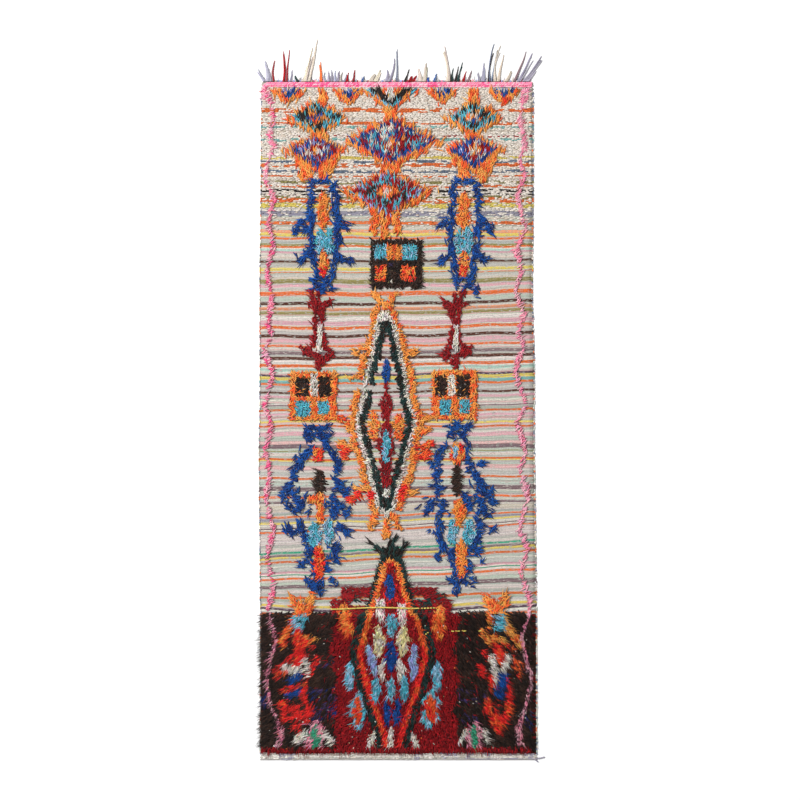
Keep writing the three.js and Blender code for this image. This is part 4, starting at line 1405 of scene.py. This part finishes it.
def loop_colours(across, down):
    """Cream, but for dashes in the colour of a stripe below, and patches of yarn on the hem."""
    pick = np.clip((along_weft(across, down) / PICK).astype(int), 0, len(PICKS) - 1)
    dash = (across / 23 + 7.3 * (pick // 3)).astype(int)
    shown = rng.random(DASH_LOTS)[dash % DASH_LOTS[0], pick % DASH_LOTS[1]] < 0.6
    plain = 0.9 * dyed("cream cream cream cream beige", len(pick))
    hem_yarns = dyed("cream bone white cream heather blush", HEM_PATCHES)
    patch = 0.88 * hem_yarns[(across / 34 + 20).astype(int)]
    plain = np.where((down > SHAG_FOOT - 6)[:, None], patch, plain)
    return np.where((PICK_IS_STRIPE[pick] & shown)[:, None], PICK_LIGHT[pick], plain)


def lay_loops():
    """Rows of loops over the top stripes, thinning out downwards, and over the hem."""
    grids = [np.meshgrid(*rows, indexing="ij") for rows in (LOOP_ROWS, HEM_ROWS)]
    down, across = (np.concatenate([grid[i].ravel() for grid in grids]) for i in (0, 1))
    across += rng.normal(0, 2.6, across.shape)
    down += rng.normal(0, 0.6, down.shape) + bow(down, share_of(across, down)) + wobble(across, down)
    right = np.clip((across + 100) / 300, 0, 1)
    thins = np.interp(down, (380, 470, 540, 600, 2600, 2680), (1.0, 0.72, 0.2, 0.0, 0.0, 0.85))
    thins = np.maximum(thins, right * np.interp(down, (470, 560, 600), (0.95, 0.5, 0)))
    kept = rng.random(across.size) < thins
    across, down = across[kept], down[kept]
    count = len(across)
    colours = loop_colours(across, down)
    sizes = bead_sizes(count, (5.5, 9.5), (2.2, 3.1), (1.9, 2.6))
    spots = metres(across, down, CREST + rng.uniform(0, 0.6, count))
    turn = rng.normal(0, 0.1, count)
    return beads("weft_loops", spots, turn, sizes, worn(colours, 0.05))


# %% The yellow float and the pale specks
FLOAT_ON_SHAG = (112, 119, 216, 221, 232, 238, 244, 258, 264, 269, 325, 331)
SPECKS = 110


def lay_float():
    """One yellow weft, darned over the crowned figure's pile, and its bits in the shag."""
    on_pile = np.concatenate([np.arange(-264, 84, 7.5), np.arange(96, 146, 12.0)])
    across = np.concatenate([on_pile, np.array(FLOAT_ON_SHAG, float)])
    over = np.arange(len(across)) < len(on_pile)
    down = np.where(over, 2102, 2200) + 2.5 * np.sin(across / 55) - 0.01 * across
    down += np.where(over, 0.0, rng.normal(0, 2.0, len(across)))
    spots = metres(across, down, np.where(over, 16.0, 17.0))
    sizes = np.where(over[:, None], (5.4, 3.0, 2.4), (4.0, 2.4, 2.2))
    turn = rng.normal(0, 0.1, len(across))
    colours = worn(0.86 * dyed("yellow", len(across)), 0.16)
    return beads("yellow_float", spots, turn, sizes, colours)


def lay_specks():
    """Bits of pale yarn that show between the tufts of the shag."""
    across = rng.uniform(-520, 520, SPECKS)
    down = rng.uniform(SHAG_TOP + 30, SHAG_FOOT - 20, SPECKS)
    spots = metres(across, down, rng.uniform(12, 16, SPECKS))
    sizes = rng.uniform(1.2, 2.6, (SPECKS, 3)) * (1.6, 1.0, 1.0)
    colours = worn(dyed("white cream sage lemon rust grey", SPECKS), 0.1)
    return beads("pale_specks", spots, rng.uniform(0, 3, SPECKS), sizes, colours)


weft_loops = lay_loops()
yellow_float = lay_float()
pale_specks = lay_specks()

# %% Turns of weft at the two edges
def lay_turns():
    """A bead at every other pick, lying along the edge, where the wefts turn back."""
    down = np.arange(48, LENGTH - 20, 2 * PICK)
    pick = np.clip((down / PICK).astype(int), 0, len(PICKS) - 1)
    sides = []
    for index, out, share in ((1, -1, 0.0), (2, 1, 1.0)):
        across = column(SIDES, down, index) + out * rng.normal(0.4, 0.9, len(down))
        plain = dyed("grey slate cream ash beige sage rust", len(down))
        shown = PICK_IS_STRIPE[pick] & (rng.random(len(down)) < 0.8)
        spots = metres(across, down + bow(down, share), np.full(len(down), 2.9))
        sides.append((spots, np.where(shown[:, None], PICK_LIGHT[pick], plain)))
    spots, colours = (np.concatenate(both) for both in zip(*sides))
    sizes = bead_sizes(len(spots), (3.8, 5.6), (2.2, 3.4), (2.0, 2.7))
    turn = rng.normal(math.pi / 2, 0.25, len(spots))
    return beads("weft_turns", spots, turn, sizes, worn(colours, 0.1))


weft_turns = lay_turns()

# %% [markdown]
# The twined edge.
# Bright and pale pink yarns are twined around the warps to lock the top end, changing every few
# centimetres. The cord is laid as three rows of slanting strokes, the middle row highest, and
# at the left it turns down around the corner.

# %% Twine the edge
TWINE = {"line": 11, "start": -516, "end": 539, "drop": 11, "bend": 18, "step": 3.5, "lots": 60}
TWINE_CORNER = math.pi / 2 * TWINE["bend"]
TWINE_ROWS = [
    # aside of the cord's middle, slant of the strokes
    (-6.6, 0.62), (0.0, 0.66), (6.6, 0.62),
]
TWINE_YARNS = {"rose": 0.52, "shell": 0.24, "cerise": 0.22, "wine": 0.02}


def twine_path(run):
    """Where the cord is after a run from its foot at the left corner, and which way it goes."""
    drop, bend = TWINE["drop"], TWINE["bend"]
    turn = np.clip((run - drop) / bend, 0, math.pi / 2)
    across = TWINE["start"] - bend * np.cos(turn) + np.clip(run - drop - TWINE_CORNER, 0, None)
    down = TWINE["line"] + bend * (1 - np.sin(turn)) + np.clip(drop - run, 0, None)
    return across, down, math.pi / 2 - turn


def lay_twine():
    """Three rows of slanting strokes. Each takes its colour from its lot of yarn, or at random."""
    whole = TWINE["drop"] + TWINE_CORNER + TWINE["end"] - TWINE["start"]
    run = np.arange(3, whole - 3, TWINE["step"])
    across, down, heading = twine_path(run)
    lots = rng.choice(len(TWINE_YARNS), size=TWINE["lots"], p=tuple(TWINE_YARNS.values()))
    lot = np.repeat(lots, rng.integers(4, 20, size=TWINE["lots"]))[:len(run)]
    palette = np.array([LIGHT[name] for name in TWINE_YARNS])
    rows = []
    for aside, slant in TWINE_ROWS:
        row_across = across - np.sin(heading) * aside
        row_down = down - np.cos(heading) * aside
        mixed = np.where(rng.random(len(run)) < 0.5, lot, rng.integers(3, size=len(run)))
        high = np.maximum(5.6 - 0.05 * aside * aside + rng.normal(0, 0.5, len(run)), 3.4)
        rows.append((metres(row_across, row_down, high), heading + slant, palette[mixed]))
    spots, turn, colours = (np.concatenate(part) for part in zip(*rows))
    sizes = bead_sizes(len(spots), (5.0, 6.6), (1.9, 2.6), (2.4, 3.0))
    turn = turn + rng.normal(0, 0.14, len(spots))
    piece = beads("twined_edge_yarn", spots, turn, sizes, worn(colours, 0.09))
    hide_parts("twined_edge")
    return piece


twined_edge_yarn = lay_twine()

# %% [markdown]
# The fringe.
# What is left of the warps and their darned-in ends makes an uneven fringe. A table lists each
# lock: where it starts, where its tip lies, how far out it reaches, how wide it is, and its
# yarns. Every lock is split into a few thin ends that come down to the floor. Short fuzz lies
# between the locks, and a row of small knots holds the roots.

# %% Lay the fringe
FRINGE = [
    # root, tip, out, wide, yarns
    (-533, -560, 52, 10, "ash heather"), (-523, -534, 88, 10, "ash heather"),
    (-512, -519, 56, 10, "ash heather"), (-498, -492, 88, 7, "mauve wine mauve"),
    (-458, -461, 126, 4, "wine mauve"), (-446, -434, 131, 5, "mauve wine"),
    (-429, -424, 50, 5, "ash"), (-400, -412, 26, 10, "black pine"), (-384, -370, 60, 7, "bone"),
    (-370, -340, 140, 10, "bone beige"), (-356, -324, 174, 8, "bone beige"),
    (-308, -312, 82, 8, "rust brown"), (-288, -293, 40, 6, "ash heather"),
    (-277, -280, 44, 7, "ash heather"), (-265, -266, 50, 7, "heather ash"),
    (-253, -251, 46, 7, "ash heather"), (-241, -237, 46, 7, "ash heather"),
    (-229, -223, 40, 6, "ash bone"), (-216, -208, 32, 6, "ash heather"),
    (-203, -199, 38, 6, "wine mauve"), (-181, -174, 50, 6, "wine mauve"),
    (-142, -136, 24, 7, "blue slate"), (-108, -92, 34, 14, "bone beige"),
    (-90, -70, 50, 14, "bone beige"), (-48, -43, 50, 11, "heather ash"),
    (-36, -14, 96, 6, "ash"), (-5, -6, 135, 5, "slate ash"), (28, 45, 52, 6, "black soot"),
    (46, 54, 24, 13, "wine burgundy"), (62, 72, 27, 8, "wine"), (88, 82, 56, 16, "bone beige"),
    (104, 112, 78, 12, "bone beige"), (122, 120, 20, 5, "blue"), (146, 155, 34, 9, "blue slate"),
    (200, 184, 146, 13, "bone beige"), (216, 220, 56, 6, "black pine"),
    (228, 240, 64, 6, "black"), (240, 258, 80, 7, "black pine"), (262, 272, 44, 6, "wine"),
    (277, 292, 47, 7, "wine mauve"), (324, 318, 40, 7, "heather ash"),
    (338, 342, 80, 13, "heather ash"), (364, 384, 156, 6, "black slate"),
    (376, 396, 130, 6, "slate black"), (388, 410, 148, 8, "bone"), (401, 422, 112, 8, "bone beige"),
    (430, 452, 46, 11, "bone beige"), (464, 512, 125, 6, "wine mauve"),
    (484, 538, 117, 10, "ash heather"), (502, 574, 106, 10, "ash slate"),
    (517, 552, 58, 9, "heather ash"),
]
FUZZ = 150


def fringe_locks():
    """Root, tip, half width, bow and colour of every end: the locks' ends, then the fuzz."""
    ends, colours = [], []
    for root, tip, out, wide, yarns in FRINGE:
        count = max(2, round(wide / 3.2))
        bends = rng.normal(0, 0.06) + rng.normal(0, 0.01, count)
        for k, aside in enumerate(np.linspace(-0.36, 0.36, count) * wide):
            reach = out * (1.0 if k == count // 2 else rng.uniform(0.74, 0.97))
            aim = tip + aside * rng.uniform(0.1, 1.0)
            width = rng.uniform(2.2, 3.0) + wide * 0.13
            ends.append((root + aside, -1.0, aim, -reach, width, bends[k]))
        colours.append(dyed(yarns, count))
    root = rng.uniform(-540, 530, FUZZ)
    tip, out = root + rng.normal(0, 5, FUZZ), rng.uniform(9, 26, FUZZ)
    width, bends = rng.uniform(0.8, 1.5, FUZZ), rng.normal(0, 0.1, FUZZ)
    ends += list(zip(root, np.full(FUZZ, -1.0), tip, -out, width, bends))
    colours.append(dyed("ash bone slate mauve heather bone", FUZZ))
    ends = np.array(ends)
    return ends[:, 0:2], ends[:, 2:4], ends[:, 4], ends[:, 5], np.concatenate(colours)


def lay_fringe():
    """Each end leaves the root row and comes down to the floor, bowed and a little wavy."""
    start, tip, width, bends, colours = fringe_locks()
    bend = bends * np.hypot(*(tip - start).T)
    wave = rng.uniform(0, 2 * math.pi) + start[:, 0] / 9

    def centre(t):
        spot = start + (tip - start) * t
        aside = bend * 4 * t * (1 - t) + 0.8 * np.sin(wave + 9 * t) * t
        lift = width * (1 - 0.4 * t) + 3.2 * max(0.0, 1 - 4 * t)
        return metres(spot[:, 0] + aside, spot[:, 1], lift)

    def radius(t):
        return width * (1 - 0.55 * t) * MM

    points = bend_strands(YARN_END, centre, radius)
    mesh = join_copies("fringe_ends", YARN_END, points, worn(colours, 0.12))
    piece = finish_mesh("fringe_ends", mesh, FRINGE_WOOL)
    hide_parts("warp_fringe")
    print(f"fringe: {len(start)} ends of yarn")
    return piece


def lay_roots():
    """The row of warp knots that holds the fringe."""
    across = np.arange(-538, 528, 4.6)
    count = len(across)
    spots = metres(across, rng.normal(-3.6, 0.8, count), np.full(count, 2.9))
    sizes = bead_sizes(count, (4.0, 5.4), (2.2, 2.9), (2.1, 2.8))
    turn = rng.normal(math.pi / 2, 0.3, count)
    colours = worn(dyed("bone ash rose lavender beige wine bone", count), 0.1)
    return beads("fringe_roots", spots, turn, sizes, colours)


fringe_ends = lay_fringe()
fringe_roots = lay_roots()

# %% [markdown]
# The loose edge yarn.
# At the right of the hem a blue-grey yarn follows the edge and ends in two free tails. It is two
# plies wound around each other, each a strand of its own.

# %% Lay the edge yarn
HEM_LINE = 2706.5
HEM_FROM = 291
HEM_TO = 558
PLY = 1.9
PLY_CUTS = 120
HEM_ROUTE = np.array([
    # share of the run, across, down
    (0.0, HEM_FROM, HEM_LINE),
    (0.45, 440, HEM_LINE),
    (0.86, HEM_TO - 8, HEM_LINE),
    (0.94, HEM_TO + 14, HEM_LINE - 3),
    (1.0, HEM_TO + 30, HEM_LINE - 7),
])
HEM_TAIL = np.array([
    # share of the run, across, down
    (0.0, HEM_TO - 14, HEM_LINE),
    (1.0, HEM_TO + 3, HEM_LINE + 13),
])
PLIES = [
    # where it starts around the yarn, path, turns
    (0.0, HEM_ROUTE, 15), (0.0, HEM_TAIL, 1), (math.pi, HEM_ROUTE, 15), (math.pi, HEM_TAIL, 1),
]


def lay_hem_yarn():
    """Winds two plies around the route, and two around the short tail."""
    def centre(t):
        spots = []
        for phase, path, turns in PLIES:
            wind = phase + turns * 2 * math.pi * t
            across, down = column(path, t, 1), column(path, t, 2)
            high = PLY * (1.6 + 0.7 * math.cos(wind))
            spots.append((across, down + PLY * 0.7 * math.sin(wind), high))
        return metres(*np.array(spots, float).T)

    def radius(t):
        return np.full(len(PLIES), PLY * (1.0 if t < 0.8 else 1.8 - t)) * MM

    template = cut_cone(6, tuple(np.linspace(0.008, 0.992, PLY_CUTS)))
    points = bend_strands(template, centre, radius)
    colours = worn(dyed("slate ash", len(PLIES)), 0.08)
    mesh = join_copies("hem_edge_yarn", template, points, colours)
    piece = finish_mesh("hem_edge_yarn", mesh, FRINGE_WOOL)
    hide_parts("hem_yarn")
    return piece


hem_edge_yarn = lay_hem_yarn()
print(f"edge yarn: {len(PLIES)} plies, {HEM_TO - HEM_FROM} mm along the hem")

# %% [markdown]
# The cloth.
# The weave is one sheet, laid flat. Its pile, loops, fringe and edgings are pieces of their own.

# %% [markdown]
# Floor, light and camera.
# The rug lies on a plain pale floor under studio light: a strong lamp from the upper left for
# the shadows between tufts, a weaker and broader one opposite, and an even white sky. The camera
# looks straight down. Colours are shown without a film look, so that wool keeps its dye.

# %% Set the studio
VIEW_CENTRE = (0.008, 0.084)
VIEW_WIDTH = 3.2
LENS = 85
SENSOR = 36
LAMPS = [
    # name, place, size, power
    ("key", (-6.8, 6.0, 9.6), 2.4, 2080),
    ("fill", (7.2, -5.2, 10.0), 6.0, 340),
]
SKY_LIGHT = 0.34


def lay_floor():
    bm = bmesh.new()
    bmesh.ops.create_grid(bm, x_segments=1, y_segments=1, size=14)
    mesh = bpy.data.meshes.new("floor")
    bm.to_mesh(mesh)
    bm.free()
    material = bpy.data.materials.new("pale_floor")
    material.use_nodes = True
    shader = material.node_tree.nodes["Principled BSDF"]
    shader.inputs["Base Color"].default_value = (0.92, 0.92, 0.92, 1)
    shader.inputs["Roughness"].default_value = 0.8
    shader.inputs["Specular IOR Level"].default_value = 0.1
    mesh.materials.append(material)
    floor = bpy.data.objects.new("floor", mesh)
    bpy.context.scene.collection.objects.link(floor)


def hang_lamp(name, spot, size, power):
    """A square lamp that points at the rug's middle."""
    lamp = bpy.data.lights.new(name, "AREA")
    lamp.shape = "SQUARE"
    lamp.size = size
    lamp.energy = power
    thing = bpy.data.objects.new(name, lamp)
    thing.location = spot
    to_rug = -thing.location
    thing.rotation_euler = to_rug.to_track_quat("-Z", "Y").to_euler()
    bpy.context.scene.collection.objects.link(thing)


def open_sky(strength):
    """An even white sky."""
    sky = bpy.data.worlds.new("sky")
    sky.use_nodes = True
    background = sky.node_tree.nodes["Background"]
    background.inputs["Color"].default_value = (1, 1, 1, 1)
    background.inputs["Strength"].default_value = strength
    bpy.context.scene.world = sky


def set_camera():
    """A camera straight above, high enough for the whole rug to fill its view."""
    lens = bpy.data.cameras.new("camera")
    lens.lens = LENS
    lens.sensor_width = SENSOR
    lens.clip_end = 60
    camera = bpy.data.objects.new("camera", lens)
    camera.location = (*VIEW_CENTRE, VIEW_WIDTH * LENS / SENSOR)
    bpy.context.scene.collection.objects.link(camera)
    bpy.context.scene.camera = camera
    print(f"camera {camera.location.z:.2f} m above the rug")


lay_floor()
for lamp in LAMPS:
    hang_lamp(*lamp)
open_sky(SKY_LIGHT)
bpy.context.scene.view_settings.view_transform = "Standard"
set_camera()
